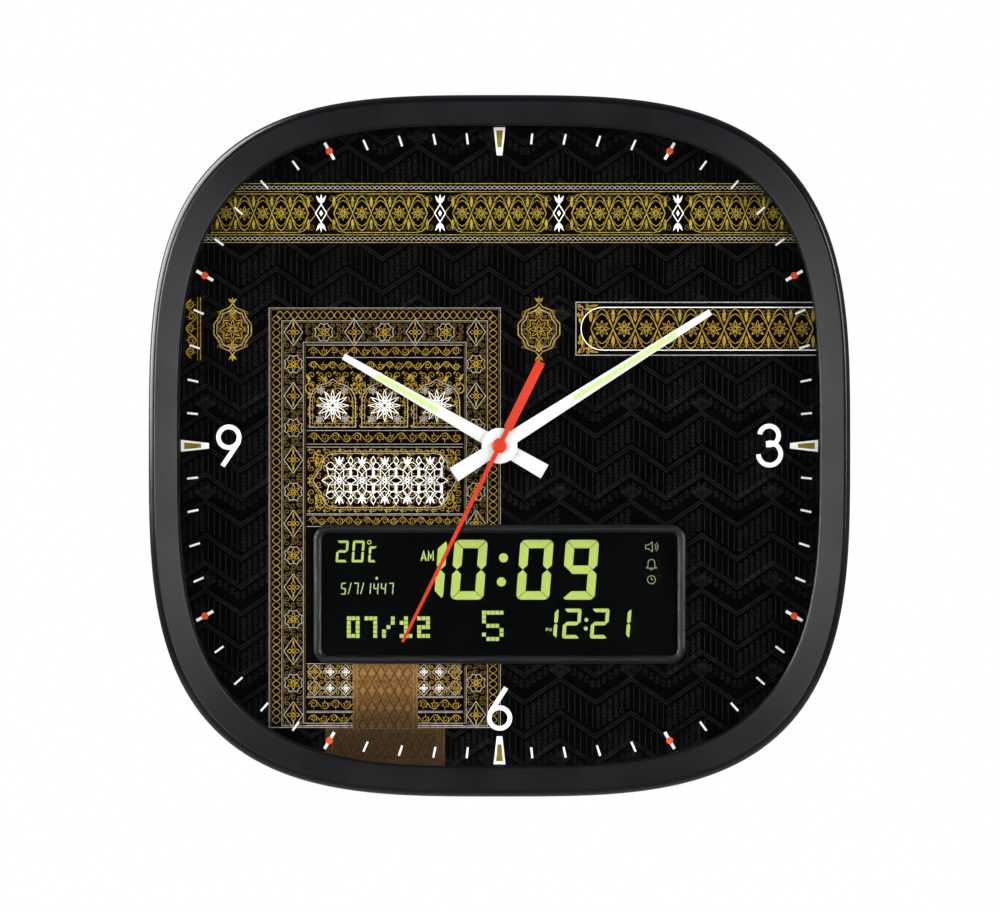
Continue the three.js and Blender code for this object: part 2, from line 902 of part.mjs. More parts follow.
// A contact plate on the bay's end wall that stands in the x-z plane and faces +y. It spans the
// given cells, with a spring on the ones that meet a cell's flat end.
function makeContact(span, springAt) {
  const pitch = 2 * cellRadius + bayCellGap;
  const half = (span * pitch - pitch + contactWidth) / 2;
  const reach = contactWidth / 2 + contactRise;
  const plate = block(-half, 0, -reach, half, contactThickness, reach);
  const springs = springAt.map((place) => (
    turned([
      [0, contactThickness / 2],
      [springRadius, contactThickness / 2],
      [springTipRadius, contactThickness + springHeight],
      [0, contactThickness + springHeight],
    ], springSides).rotateX(-Math.PI / 2).translate((place * pitch) / 2, 0, 0)));
  return springs.length ? join(plate, ...springs) : plate;
}

// Buttons and volume knob

function makeButton() {
  const front = buttonRecess + buttonHeight;
  const flangeRear = coverThickness + clearance;
  const flangeRadius = buttonRadius + buttonFlange;
  return turned([
    [0, buttonRecess],
    [buttonRadius - buttonChamfer, buttonRecess],
    [buttonRadius, buttonRecess + buttonChamfer],
    [buttonRadius, flangeRear],
    [flangeRadius, flangeRear],
    [flangeRadius, flangeRear + buttonFlangeThickness],
    [buttonRadius, flangeRear + buttonFlangeThickness],
    [buttonRadius, front],
    [0, front],
  ], buttonSides);
}

const volumeFlangeRear = coverThickness + clearance;
const volumeStemRear = volumeFlangeRear + buttonFlangeThickness;
const volumeSwitchRear = volumeStemRear + volumeStemHeight + clearance;
const volumeFlangeWidth = volumeGripWidth + 4 * volumeTravel + 2 * volumeFlangeMargin;

function makeVolumeKnob() {
  return join(
    slab(volumeGripWidth, volumeGripHeight, volumeRecess, volumeStemRear),
    slab(volumeFlangeWidth, volumeSwitchHeight, volumeFlangeRear, volumeStemRear),
    slab(volumeGripWidth, volumeGripHeight, volumeFlangeRear, volumeStemRear + volumeStemHeight),
  );
}

// The jack stands along y, its mouth towards -y.
function makeJack() {
  const noseFront = jackWallInner + bezelWall;
  const bodyEnd = jackWallInner - clearance;
  const alongY = (geometry) => geometry.rotateX(Math.PI / 2).translate(0, 0, jackAxisLevel);
  const body = slab(jackWidth, jackLength, jackAxisLevel - jackHeight / 2, jackAxisLevel + jackHeight / 2)
    .translate(0, -bodyEnd + jackLength / 2, 0);
  const nose = alongY(cylinder(jackNoseRadius, bodyEnd - clearance, noseFront, jackSides));
  const bore = alongY(ring(
    jackPinRadius,
    jackBoreRadius,
    noseFront - jackBoreDepth,
    noseFront + cutOverrun,
    jackSides,
  ));
  return cut(join(body, nose), bore);
}

// Movement cases

const cellBayAxisY = -movementHeight / 2 + movementWall + clearance + cellRadius;
const partitionBottom = cellBayAxisY + cellRadius + clearance;
const partitionTop = partitionBottom + movementWall;
const cellBayAxisLevel = movementRear + clearance + cellRadius;

function makeMovementFrontCase() {
  const box = roundedSlab(
    movementWidth,
    movementHeight,
    movementCornerRadius,
    movementRear,
    movementFront,
  );
  const hollow = roundedSlab(
    movementWidth - 2 * movementWall,
    movementHeight - 2 * movementWall,
    movementCornerRadius - movementWall,
    movementRear - cutOverrun,
    movementCeiling,
  );
  const bushing = cylinder(bushingRadius, movementCeiling, bushingFront);
  const bore = cylinder(bushingBore, movementCeiling - cutOverrun, bushingFront + cutOverrun);
  return cut(join(cut(box, hollow), bushing), bore);
}

function makeMovementRearCase() {
  const half = movementWidth / 2 - movementWall - clearance;
  const top = movementHeight / 2 - movementWall - clearance;
  const floor = block(-half, partitionBottom, movementRear, half, top, movementFloor);
  const partition = block(
    -half,
    partitionBottom,
    movementRear,
    half,
    partitionTop,
    movementCeiling - clearance,
  );
  const shaftHole = cylinder(
    motionShaftRadius + clearance,
    movementRear - cutOverrun,
    movementFloor + cutOverrun,
  ).translate(...polar(motionDistance, motionAngle), 0);
  return cut(join(floor, partition), shaftHole);
}

function polar(distance, angle) {
  return [distance * Math.cos(angle), distance * Math.sin(angle)];
}

// Gear train

function moduleOf(distance, teeth, otherTeeth) {
  return (2 * distance) / (teeth + otherTeeth);
}

// A toothed disc, with one tooth's middle at the phase angle.
function gear(teeth, module, phase, rear, front) {
  const pitchRadius = (teeth * module) / 2;
  const tip = pitchRadius + addendumShare * module;
  const root = pitchRadius - dedendumShare * module;
  const pitchAngle = (2 * Math.PI) / teeth;
  const points = [];
  for (let tooth = 0; tooth < teeth; tooth += 1) {
    const middle = phase + tooth * pitchAngle;
    const flank = [
      [root, -toothRootShare],
      [tip, -toothTipShare],
      [tip, toothTipShare],
      [root, toothRootShare],
    ];
    flank.forEach(([radius, share]) => points.push(polar(radius, middle + (share * pitchAngle) / 2)));
  }
  return prism(polygon(points), rear, front);
}

// The phase that puts a gap of the gear where the mate's tooth points along the line of centres.
function gapPhase(teeth, angleFromMate) {
  return angleFromMate + Math.PI + Math.PI / teeth;
}

const intermediatePlace = polar(intermediateDistance, intermediateAngle);
const rotorOffset = polar(rotorDistance, rotorAngle);
const rotorPlace = [intermediatePlace[0] + rotorOffset[0], intermediatePlace[1] + rotorOffset[1]];
const thirdPlace = polar(thirdDistance, thirdAngle);
const motionPlace = polar(motionDistance, motionAngle);
const rotorModule = moduleOf(rotorDistance, rotorPinionTeeth, intermediateTeeth);
const secondModule = moduleOf(intermediateDistance, intermediatePinionTeeth, secondTeeth);
const thirdModule = moduleOf(thirdDistance, secondPinionTeeth, thirdTeeth);
const minuteModule = moduleOf(thirdDistance, thirdPinionTeeth, minuteTeeth);
const motionModule = moduleOf(motionDistance, cannonTeeth, motionTeeth);
const hourModule = moduleOf(motionDistance, motionPinionTeeth, hourTeeth);

// A pinion grown from its own wheel's level to just past its mate's.
function pinion(teeth, module, phase, rear, mateLevel) {
  return gear(teeth, module, phase, rear, mateLevel + wheelThickness + pinionOverhang);
}

function arbor(rear, front, radius = arborRadius) {
  return cylinder(radius, rear, front, arborSides);
}

function makeRotor() {
  const pinionFront = intermediateLevel + wheelThickness + pinionOverhang;
  const magnetRear = pinionFront + pinionOverhang;
  return join(
    arbor(arborRear, bridgeFront - clearance),
    gear(
      rotorPinionTeeth,
      rotorModule,
      rotorAngle + Math.PI,
      intermediateLevel - pinionOverhang,
      magnetRear,
    ),
    cylinder(magnetRotorRadius, magnetRear, magnetRear + magnetRotorHeight),
  );
}

function makeIntermediateWheel() {
  return join(
    arbor(arborRear, bridgeFront - clearance),
    gear(
      intermediateTeeth,
      rotorModule,
      gapPhase(intermediateTeeth, rotorAngle + Math.PI),
      intermediateLevel,
      intermediateLevel + wheelThickness,
    ),
    pinion(
      intermediatePinionTeeth,
      secondModule,
      intermediateAngle + Math.PI,
      intermediateLevel,
      secondLevel,
    ),
  );
}

function makeSecondWheel() {
  return join(
    arbor(arborRear, secondArborFront),
    gear(
      secondTeeth,
      secondModule,
      gapPhase(secondTeeth, intermediateAngle + Math.PI),
      secondLevel,
      secondLevel + wheelThickness,
    ),
    pinion(secondPinionTeeth, thirdModule, thirdAngle, secondLevel, thirdLevel),
  );
}

function makeThirdWheel() {
  return join(
    arbor(arborRear, minuteLevel + wheelThickness + 2 * pinionOverhang),
    gear(
      thirdTeeth,
      thirdModule,
      gapPhase(thirdTeeth, thirdAngle),
      thirdLevel,
      thirdLevel + wheelThickness,
    ),
    pinion(thirdPinionTeeth, minuteModule, thirdAngle + Math.PI, thirdLevel, minuteLevel),
  );
}

function makeMinuteWheel() {
  const body = join(
    gear(
      minuteTeeth,
      minuteModule,
      gapPhase(minuteTeeth, thirdAngle + Math.PI),
      minuteLevel,
      minuteLevel + wheelThickness,
    ),
    pinion(cannonTeeth, motionModule, motionAngle, minuteLevel, motionLevel),
    cylinder(cannonRadius, minuteLevel, cannonFront),
  );
  return cut(body, cylinder(cannonBore, minuteLevel - cutOverrun, cannonFront + cutOverrun));
}

function makeMotionWheel() {
  const knobFront = settingKnobRecess + settingKnobLength;
  return join(
    arbor(knobFront - cutOverrun, movementCeiling - clearance, motionShaftRadius),
    gear(
      motionTeeth,
      motionModule,
      gapPhase(motionTeeth, motionAngle),
      motionLevel,
      motionLevel + wheelThickness,
    ),
    pinion(motionPinionTeeth, hourModule, motionAngle + Math.PI, motionLevel, hourLevel),
    cylinder(settingKnobRadius, settingKnobRecess, knobFront, settingKnobSides),
  );
}

function makeHourWheel() {
  const body = join(
    gear(
      hourTeeth,
      hourModule,
      gapPhase(hourTeeth, motionAngle + Math.PI),
      hourLevel,
      hourLevel + wheelThickness,
    ),
    cylinder(hourTubeRadius, hourLevel, hourTubeFront),
  );
  return cut(body, cylinder(hourTubeBore, hourLevel - cutOverrun, hourTubeFront + cutOverrun));
}

function makeBridge() {
  const deck = block(-bridgeLeft, -bridgeBottom, bridgeRear, bridgeRight, bridgeTop, bridgeFront);
  const legPlaces = [-bridgeLeft + bridgeLegInset, bridgeRight - bridgeLegInset].flatMap((x) => (
    [-bridgeBottom + bridgeLegInset, bridgeTop - bridgeLegInset].map((y) => [x, y])));
  const legs = legPlaces.map(([x, y]) => (
    cylinder(bridgeLegRadius, bridgeRear, movementCeiling - clearance, arborSides).translate(x, y, 0)));
  const thirdPinionTip = ((thirdPinionTeeth / 2) + addendumShare) * minuteModule;
  const holes = [
    [0, 0, arborRadius],
    [...thirdPlace, thirdPinionTip],
    [...intermediatePlace, arborRadius],
    [...rotorPlace, arborRadius],
    [...motionPlace, motionShaftRadius],
  ].map(([x, y, radius]) => (
    cylinder(radius + clearance, bridgeRear - cutOverrun, bridgeFront + cutOverrun, bossSides)
      .translate(x, y, 0)));
  return cut(join(deck, ...legs), ...holes);
}

// Stepping motor

const statorRear = secondLevel + wheelThickness + statorLift;
const statorFront = statorRear + statorThickness;
const coilLeft = -statorLeft + statorWidth / 2 + clearance;
const coilRight = -statorRight - statorWidth / 2 - clearance;

function makeStator() {
  const [rotorX, rotorY] = rotorPlace;
  const half = statorWidth / 2;
  const yoke = block(
    -statorLeft - half,
    rotorY - half,
    statorRear,
    -statorRight + half,
    rotorY + half,
    statorFront,
  );
  const legs = [-statorLeft, -statorRight].map((x) => (
    block(x - half, rotorY - half, statorRear, x + half, coilDistance + half, statorFront)));
  const pole = cylinder(statorRingRadius, statorRear, statorFront).translate(rotorX, rotorY, 0);
  const bore = cylinder(statorBore, statorRear - cutOverrun, statorFront + cutOverrun)
    .translate(rotorX, rotorY, 0);
  return cut(join(yoke, ...legs, pole), bore);
}

function makeCoil() {
  const coreRear = statorFront + clearance;
  const coreFront = coreRear + coilCoreThickness;
  const half = statorWidth / 2;
  const core = slab(
    statorLeft - statorRight + 2 * half,
    coilCoreWidth,
    coreRear,
    coreFront,
    -(statorLeft + statorRight) / 2,
    coilDistance,
  );
  const winding = turned([
    [0, coilLeft],
    [coilRadius, coilLeft],
    [coilRadius, coilLeft + coilFlange],
    [coilWindingRadius, coilLeft + coilFlange],
    [coilWindingRadius, coilRight - coilFlange],
    [coilRadius, coilRight - coilFlange],
    [coilRadius, coilRight],
    [0, coilRight],
  ], coilSides).rotateY(Math.PI / 2).translate(0, coilDistance, (coreRear + coreFront) / 2);
  return join(core, winding);
}

// Hands, drawn pointing up the dial

function tapered(from, fromWidth, to, toWidth) {
  return polygon([
    [-fromWidth / 2, from],
    [fromWidth / 2, from],
    [toWidth / 2, to],
    [-toWidth / 2, to],
  ]);
}

function makeHand(rear, hubRadius, tubeRadius, tail, length, rootWidth, tipWidth) {
  const front = rear + handThickness;
  const body = join(
    cylinder(hubRadius, rear, front, hubSides),
    prism(tapered(0, rootWidth, length, tipWidth), rear, front),
    prism(tapered(-tail, rootWidth, 0, rootWidth), rear, front),
  );
  return cut(body, cylinder(tubeRadius + pressClearance, rear - cutOverrun, front + cutOverrun));
}

function makeSecondHand() {
  const front = secondHandRear + handThickness;
  const bossRearLevel = secondHandRear - (secondBossHeight - handThickness) / 2;
  const bossFront = bossRearLevel + secondBossHeight;
  const body = join(
    cylinder(secondBossRadius, bossRearLevel, bossFront, hubSides),
    prism(tapered(0, secondRootWidth, secondLength, secondTipWidth), secondHandRear, front),
    prism(tapered(-counterweightStart, secondRootWidth, 0, secondRootWidth), secondHandRear, front),
    prism(
      tapered(-counterweightEnd, counterweightWidth, -counterweightStart, counterweightWidth),
      secondHandRear,
      front,
    ),
  );
  const bore = cylinder(
    arborRadius + pressClearance,
    bossRearLevel - cutOverrun,
    secondArborFront + pressClearance,
  );
  return cut(body, bore);
}

// Case and dial pieces
const bezelPlastic = finish(0x2c2e31, 0.45, 0);
const coverPlastic = finish(0x1b1c1e, 0.6, 0);
const clearGlass = finish(0xe8f0f0, 0.05, 0);
const dialBlack = finish(0x060606, 0.6, 0);
addPiece('front_bezel', makeBezel(), bezelPlastic);
addPiece('front_glass', squirclePlate(glassHalfWidth, glassRear, glassFront), clearGlass);
addPiece('spacer_ring', makeSpacer(), finish(0x0c0c0d, 0.6, 0));
addPiece('dial_sheet', makeDialLayer(sheetRear, sheetFront), dialBlack);
addPiece('dial_plate', makeDialLayer(plateRear, plateFront), coverPlastic);
addPiece('back_cover', makeBackCover(), coverPlastic);
bossPlaces.forEach(([x, y], index) => {
  addPiece(`case_screw_${index + 1}`, makeScrew(), finish(0xb9b9b9, 0.35, 1), x, y);
});

// Display pieces
const boardGreen = finish(0x174a2a, 0.5, 0);
addPiece('lcd_bezel', makeRim(), finish(0x1d1e20, 0.35, 0));
addPiece('lcd_lens', roundedSlab(
  openingWidth - 2 * clearance,
  openingHeight - 2 * clearance,
  rimBand - clearance,
  lensRear,
  lensRear + lensThickness,
  0,
  -displayDrop,
), finish(0x050505, 0.08, 0));
addPiece('lcd_panel', slab(
  panelWidth,
  panelHeight,
  panelRear,
  carrierFront,
  0,
  -displayDrop,
), finish(0x1a1d14, 0.1, 0));
addPiece('lcd_backlight', slab(
  lightGuideWidth,
  lightGuideHeight,
  lightGuideRear,
  lightGuideFront,
  0,
  -displayDrop,
), finish(0xbfd86a, 0.4, 0));
addPiece('lcd_carrier', makeCarrier(), finish(0xe6e6e2, 0.5, 0));
addPiece('zebra_strip', slab(
  stripLength,
  stripWidth,
  mainBoardFront + clearance,
  panelRear - clearance,
  0,
  stripY,
), finish(0xc98f8f, 0.7, 0));
addPiece('main_board', slab(
  mainBoardWidth,
  mainBoardHeight,
  mainBoardRear,
  mainBoardFront,
  0,
  -displayDrop,
), boardGreen);
addPiece('controller_chip', slab(
  chipSide,
  chipSide,
  mainBoardRear - clearance - chipThickness,
  mainBoardRear - clearance,
  chipX,
  -displayDrop,
), finish(0x141414, 0.5, 0));
addPiece('clock_crystal', cylinder(crystalRadius, 0, crystalLength, crystalSides)
  .rotateY(Math.PI / 2)
  .translate(crystalX, -displayDrop, mainBoardRear - clearance - crystalRadius), finish(0xc8c8c8, 0.3, 1));

// Loudspeaker pieces
addPiece('speaker_frame', makeSpeakerFrame(), finish(0x8c8f92, 0.4, 1), speakerX, speakerY);
addPiece('speaker_cone', makeSpeakerCone(), finish(0x171717, 0.8, 0), speakerX, speakerY);
addPiece('speaker_magnet', cylinder(
  magnetRadius,
  speakerBack + clearance,
  speakerBack + clearance + magnetThickness,
  speakerSides,
), finish(0x3a3a3c, 0.6, 0), speakerX, speakerY);
addPiece('speaker_clamp_ring', ring(
  speakerRadius + clearance + collarWall - clampRingWidth,
  speakerRadius + clearance + collarWall,
  speakerRimFront + clearance,
  speakerRimFront + clearance + clampRingThickness,
  speakerSides,
), coverPlastic, speakerX, speakerY);

// Power pieces
const cellWrap = finish(0x2b4a6b, 0.4, 0);
const springSteel = finish(0xc4c4c4, 0.3, 1);
const cellPitch = 2 * cellRadius + bayCellGap;
const bayBottom = bayY - bayInnerHeight / 2;
const bayTop = bayY + bayInnerHeight / 2;
const flatEndRoom = clearance + contactThickness + springHeight + clearance;
const cellBottom = bayBottom + flatEndRoom;
const cellTop = bayTop - flatEndRoom;
addPiece('battery_door', slab(
  bayInnerWidth + 2 * doorLedge - 2 * clearance,
  bayInnerHeight + 2 * doorLedge - 2 * clearance,
  0,
  doorThickness,
  bayX,
  bayY,
), coverPlastic);
const cellUp = () => makeCell().rotateX(-Math.PI / 2).translate(0, cellBottom, cellAxisLevel);
const cellDown = () => makeCell().rotateX(Math.PI / 2).translate(0, cellTop, cellAxisLevel);
addPiece('display_cell_1', cellUp(), cellWrap, bayX - cellPitch);
addPiece('display_cell_2', cellDown(), cellWrap, bayX);
addPiece('display_cell_3', cellUp(), cellWrap, bayX + cellPitch);
const lowerContact = (span, springAt) => (
  makeContact(span, springAt).translate(0, bayBottom + clearance, cellAxisLevel));
const upperContact = (span, springAt) => (
  makeContact(span, springAt).rotateZ(Math.PI).translate(0, bayTop - clearance, cellAxisLevel));
addPiece('end_contact_minus', lowerContact(1, [0]), springSteel, bayX - cellPitch);
addPiece('link_contact_upper', upperContact(2, [-1]), springSteel, bayX - cellPitch / 2);
addPiece('link_contact_lower', lowerContact(2, [1]), springSteel, bayX + cellPitch / 2);
addPiece('end_contact_plus', upperContact(1, []), springSteel, bayX + cellPitch);
addPiece('dc_jack', makeJack(), finish(0x161616, 0.5, 0), jackX);

// Control pieces
const buttonGrey = finish(0x8f9296, 0.55, 0);
['button_mode', 'button_up', 'button_down', 'button_stop'].forEach((name, index) => {
  addPiece(name, makeButton(), buttonGrey, buttonPlaces[index], -controlsDrop);
});
addPiece('volume_knob', makeVolumeKnob(), buttonGrey, volumeX, -controlsDrop);
addPiece('volume_switch', slab(
  volumeSwitchWidth,
  volumeSwitchHeight,
  volumeSwitchRear,
  keyBoardRear - clearance,
), finish(0xa7a7a7, 0.4, 1), volumeX, -controlsDrop);
addPiece('key_board', block(
  -keyBoardWidth / 2,
  -keyBoardBottom,
  keyBoardRear,
  keyBoardWidth / 2,
  keyBoardRise - controlsDrop,
  keyBoardFront,
), boardGreen);

// Movement pieces
const movementPlastic = finish(0x101113, 0.5, 0);
const brass = finish(0xc9a14a, 0.3, 1);
const wheelPlastic = finish(0xe9e6da, 0.5, 0);
addPiece('movement_front_case', makeMovementFrontCase(), movementPlastic);
addPiece('movement_rear_case', makeMovementRearCase(), movementPlastic);
addPiece('train_bridge', makeBridge(), wheelPlastic);
const movementCellStart = -cellLength / 2 + springHeight / 2;
addPiece('movement_cell', makeCell()
  .rotateY(Math.PI / 2)
  .translate(movementCellStart, cellBayAxisY, cellBayAxisLevel), cellWrap);
addPiece('movement_spring_contact', makeContact(1, [0])
  .rotateZ(-Math.PI / 2)
  .translate(
    movementCellStart - clearance - springHeight - contactThickness,
    cellBayAxisY,
    cellBayAxisLevel,
  ), springSteel);
addPiece('movement_plate_contact', makeContact(1, [])
  .rotateZ(Math.PI / 2)
  .translate(
    movementCellStart + cellLength + clearance + contactThickness,
    cellBayAxisY,
    cellBayAxisLevel,
  ), springSteel);
addPiece('movement_board', slab(
  movementBoardWidth,
  movementBoardHeight,
  movementFloor + clearance,
  movementFloor + clearance + movementBoardThickness,
), boardGreen, movementBoardX, movementBoardY);
addPiece('stator', makeStator(), finish(0xa9a9ad, 0.35, 1));
addPiece('coil', makeCoil(), finish(0xb0602a, 0.4, 1));
addPiece('rotor', makeRotor(), wheelPlastic, ...rotorPlace);
addPiece('intermediate_wheel', makeIntermediateWheel(), wheelPlastic, ...intermediatePlace);
addPiece('second_wheel', makeSecondWheel(), wheelPlastic);
addPiece('third_wheel', makeThirdWheel(), wheelPlastic, ...thirdPlace);
addPiece('minute_wheel', makeMinuteWheel(), wheelPlastic);
addPiece('motion_wheel', makeMotionWheel(), wheelPlastic, ...motionPlace);
addPiece('hour_wheel', makeHourWheel(), wheelPlastic);
addPiece('movement_washer', ring(
  bushingRadius + clearance,
  washerRadius,
  washerRear,
  washerRear + washerThickness,
), brass);
const nutRadius = nutAcrossFlats / 2 / Math.cos(Math.PI / 6);
addPiece('movement_nut', cut(
  cylinder(nutRadius, nutRear, nutRear + nutThickness, 6),
  cylinder(bushingRadius + clearance, nutRear - cutOverrun, nutRear + nutThickness + cutOverrun),
), brass);

// Hands, turned clockwise from twelve
const handWhite = finish(0xf4f4f2, 0.5, 0);
addPiece('hour_hand', makeHand(
  hourHandRear,
  hourHubRadius,
  hourTubeRadius,
  hourTail,
  hourLength,
  hourRootWidth,
  hourTipWidth,
), handWhite).rotation.z = -hourAngle;
addPiece('minute_hand', makeHand(
  minuteHandRear,
  minuteHubRadius,
  cannonRadius,
  minuteTail,
  minuteLength,
  minuteRootWidth,
  minuteTipWidth,
), handWhite).rotation.z = -minuteAngle;
addPiece('second_hand', makeSecondHand(), finish(0xe24a26, 0.5, 0)).rotation.z = -secondAngle;

// Stand the clock up: its face towards -y and its top towards +z
clock.rotation.x = Math.PI / 2;
export default clock;
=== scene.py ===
"""Looks of a wall clock with hands, a printed dial and a crystal display, dressed round its frame."""

import logging
import math
import random
from dataclasses import dataclass, field
from enum import Enum
from typing import Callable, Iterable, Sequence

import bpy
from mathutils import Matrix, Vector


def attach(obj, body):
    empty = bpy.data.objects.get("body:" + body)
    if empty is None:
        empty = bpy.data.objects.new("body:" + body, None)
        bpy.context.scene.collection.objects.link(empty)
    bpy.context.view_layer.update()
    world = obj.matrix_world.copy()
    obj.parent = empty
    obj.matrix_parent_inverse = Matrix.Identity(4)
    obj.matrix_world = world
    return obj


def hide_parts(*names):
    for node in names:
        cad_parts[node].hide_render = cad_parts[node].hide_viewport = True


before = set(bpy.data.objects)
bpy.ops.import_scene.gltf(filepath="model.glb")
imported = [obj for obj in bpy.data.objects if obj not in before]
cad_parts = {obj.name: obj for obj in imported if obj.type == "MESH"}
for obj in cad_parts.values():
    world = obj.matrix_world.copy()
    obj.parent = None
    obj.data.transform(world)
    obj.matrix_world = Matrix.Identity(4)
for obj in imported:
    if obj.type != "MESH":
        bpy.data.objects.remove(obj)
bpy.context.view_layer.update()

MM = 0.001
PIXEL = 0.47009 * MM
IMAGE_WIDTH = 1000
OUTLINE_POWER = 3.3
FACING = (math.pi / 2, 0, 0)
BOTH = (1, -1)
HAIR = 0.26
FINE = 0.3
FIRM = 0.36
WELD = 1e-6
SHARP = 35
MITER_LIMIT = 0.45
LOG = logging.getLogger("clock")

Point = tuple[float, float]
Triple = tuple[float, float, float]
Outline = list[Point]
Piece = bpy.types.Object
Box = tuple[float, float, float, float]
Colour = tuple[int, int, int]
Sockets = dict[int | str, object]


def linear(colour: Iterable[int]) -> tuple[float, ...]:
    """Linear red, green, blue and alpha of a display colour from 0 to 255."""
    shares = [value / 255 for value in colour]
    return (*[((part + 0.055) / 1.055) ** 2.4 if part > 0.04045 else part / 12.92 for part in shares], 1.0)


def faded(colour: Colour, share: float) -> tuple[float, ...]:
    """Linear values of a colour darkened to a share of itself."""
    return linear(round(value * share) for value in colour)


def half_width_at(x: float, z: float) -> float:
    """Half width of the squircle that passes through a point."""
    return (abs(x) ** OUTLINE_POWER + abs(z) ** OUTLINE_POWER) ** (1 / OUTLINE_POWER)


def squircle(angle: float) -> float:
    """Radius of a squircle of half width 1 at an angle in radians."""
    return 1 / half_width_at(math.cos(angle), math.sin(angle))


def reach(half_width: float, height: float) -> float:
    """Half length of the level line at a height across a squircle."""
    share = min(1.0, abs(height) / half_width)
    return half_width * (1 - share**OUTLINE_POWER) ** (1 / OUTLINE_POWER)


def spot(centre: Point, level: float) -> Triple:
    """Place in metres of an x, a z and a level above the wall in mm."""
    return (centre[0] * MM, -level * MM, centre[1] * MM)


# Shader writing


def operator(operation: str, swapped: bool = False) -> Callable[["Wire", "Wire | float"], "Wire"]:
    """Makes an operator of the class Wire that adds one Math node.

    Args:
        operation: the node's operation.
        swapped: True for the reflected form, with the other value first.

    Returns:
        The method.
    """

    def method(self: "Wire", other: "Wire | float" = 0.0) -> "Wire":
        """Adds the node and gives its result."""
        first, second = (other, self) if swapped else (self, other)
        return self.graph.wire("ShaderNodeMath", {"operation": operation}, {0: first, 1: second})

    return method


class Wire:
    """A shader socket that can be used in arithmetic, each operator adding its Math node."""

    __add__, __radd__ = operator("ADD"), operator("ADD", True)
    __sub__, __rsub__ = operator("SUBTRACT"), operator("SUBTRACT", True)
    __mul__, __rmul__ = operator("MULTIPLY"), operator("MULTIPLY", True)
    __truediv__ = operator("DIVIDE")
    __gt__ = operator("GREATER_THAN")
    most = operator("MAXIMUM")
    sine = operator("SINE")

    def __init__(self, graph: "Graph", socket: bpy.types.NodeSocket) -> None:
        """Wraps one output socket of a graph."""
        self.graph = graph
        self.socket = socket

    def ramp(self, low: float, high: float) -> "Wire":
        """Smooth step from 0 at low to 1 at high."""
        soft = {"interpolation_type": "SMOOTHSTEP"}
        return self.graph.wire("ShaderNodeMapRange", soft, {0: self, 1: low, 2: high})

    def waves(self, pitch: float) -> "Wire":
        """Sine wave along this coordinate, with its pitch in mm."""
        return (self / (pitch * MM) * 2 * math.pi).sine()


class Graph:
    """The node tree of one material or world, written through a single node method."""

    def __init__(self, tree: bpy.types.NodeTree) -> None:
        """Empties the tree and keeps it."""
        tree.nodes.clear()
        self.tree = tree

    def node(self, kind: str, settings: dict | None = None, values: Sockets | None = None) -> bpy.types.Node:
        """Adds a node.

        Args:
            kind: the node's type.
            settings: its attributes, set first.
            values: a wire, number or colour for each named or numbered socket.

        Returns:
            The node.
        """
        made = self.tree.nodes.new(kind)
        for name, value in (settings or {}).items():
            setattr(made, name, value)
        for key, value in (values or {}).items():
            if isinstance(value, Wire):
                self.tree.links.new(value.socket, made.inputs[key])
            else:
                made.inputs[key].default_value = value
        return made

    def wire(
        self, kind: str, settings: dict | None = None, values: Sockets | None = None, out: int | str = 0
    ) -> Wire:
        """Adds a node and wraps one of its outputs."""
        return Wire(self, self.node(kind, settings, values).outputs[out])

    def wires(self, kind: str, outs: Iterable[int | str], values: Sockets | None = None) -> list[Wire]:
        """Adds a node and wraps several of its outputs."""
        made = self.node(kind, None, values)
        return [Wire(self, made.outputs[out]) for out in outs]

    def place(self) -> Wire:
        """Object coordinates."""
        return self.wire("ShaderNodeTexCoord", out="Object")

    def axes(self) -> list[Wire]:
        """Object coordinates as three numbers."""
        return self.wires("ShaderNodeSeparateXYZ", range(3), {0: self.place()})

    def noise(self, size: float, detail: float = 2.0, stretch: Sequence[float] = (1, 1, 1)) -> Wire:
        """Noise from 0 to 1.

        Args:
            size: size of a grain in mm.
            detail: octaves.
            stretch: how much longer the grain is along each axis.

        Returns:
            The noise.
        """
        scales = tuple(1 / share for share in stretch)
        mapped = self.wire("ShaderNodeMapping", None, {0: self.place(), 3: scales})
        values = {"Vector": mapped, "Scale": 1 / (size * MM), "Detail": detail}
        return self.wire("ShaderNodeTexNoise", None, values)

    def blend(self, share: Wire, low: Wire | tuple, high: Wire | tuple) -> Wire:
        """Mixes two colours, the second by a share."""
        return self.wire("ShaderNodeMix", {"data_type": "RGBA"}, {0: share, 6: low, 7: high}, out=2)

    def mix(self, share: Wire, first: Wire, second: Wire) -> Wire:
        """Mixes two shaders, the second by a share."""
        return self.wire("ShaderNodeMixShader", None, {0: share, 1: first, 2: second})

    def bump(self, height: Wire, depth: float, strength: float = 1.0) -> Wire:
        """Turns a height from 0 to 1 into a bumped normal, with its depth in mm."""
        values = {"Strength": strength, "Distance": depth * MM, "Height": height}
        return self.wire("ShaderNodeBump", None, values)

    def principled(self, values: Sockets) -> Wire:
        """Adds the shader of nearly every surface."""
        return self.wire("ShaderNodeBsdfPrincipled", None, values)


# Finishes


@dataclass(frozen=True)
class Finish:
    """A surface that writes its own material once."""

    name: str

    def sockets(self, graph: Graph) -> Sockets:
        """Values and wires for the Principled shader."""
        raise NotImplementedError

    def shader(self, graph: Graph) -> Wire:
        """Writes the shader."""
        return graph.principled(self.sockets(graph))

    def material(self) -> bpy.types.Material:
        """Makes the material, or gives the one already made.

        Returns:
            The material.
        """
        made = bpy.data.materials.get(self.name)
        if not made:
            made = bpy.data.materials.new(self.name)
            made.use_nodes = True
            graph = Graph(made.node_tree)
            graph.node("ShaderNodeOutputMaterial", None, {"Surface": self.shader(graph)})
        return made


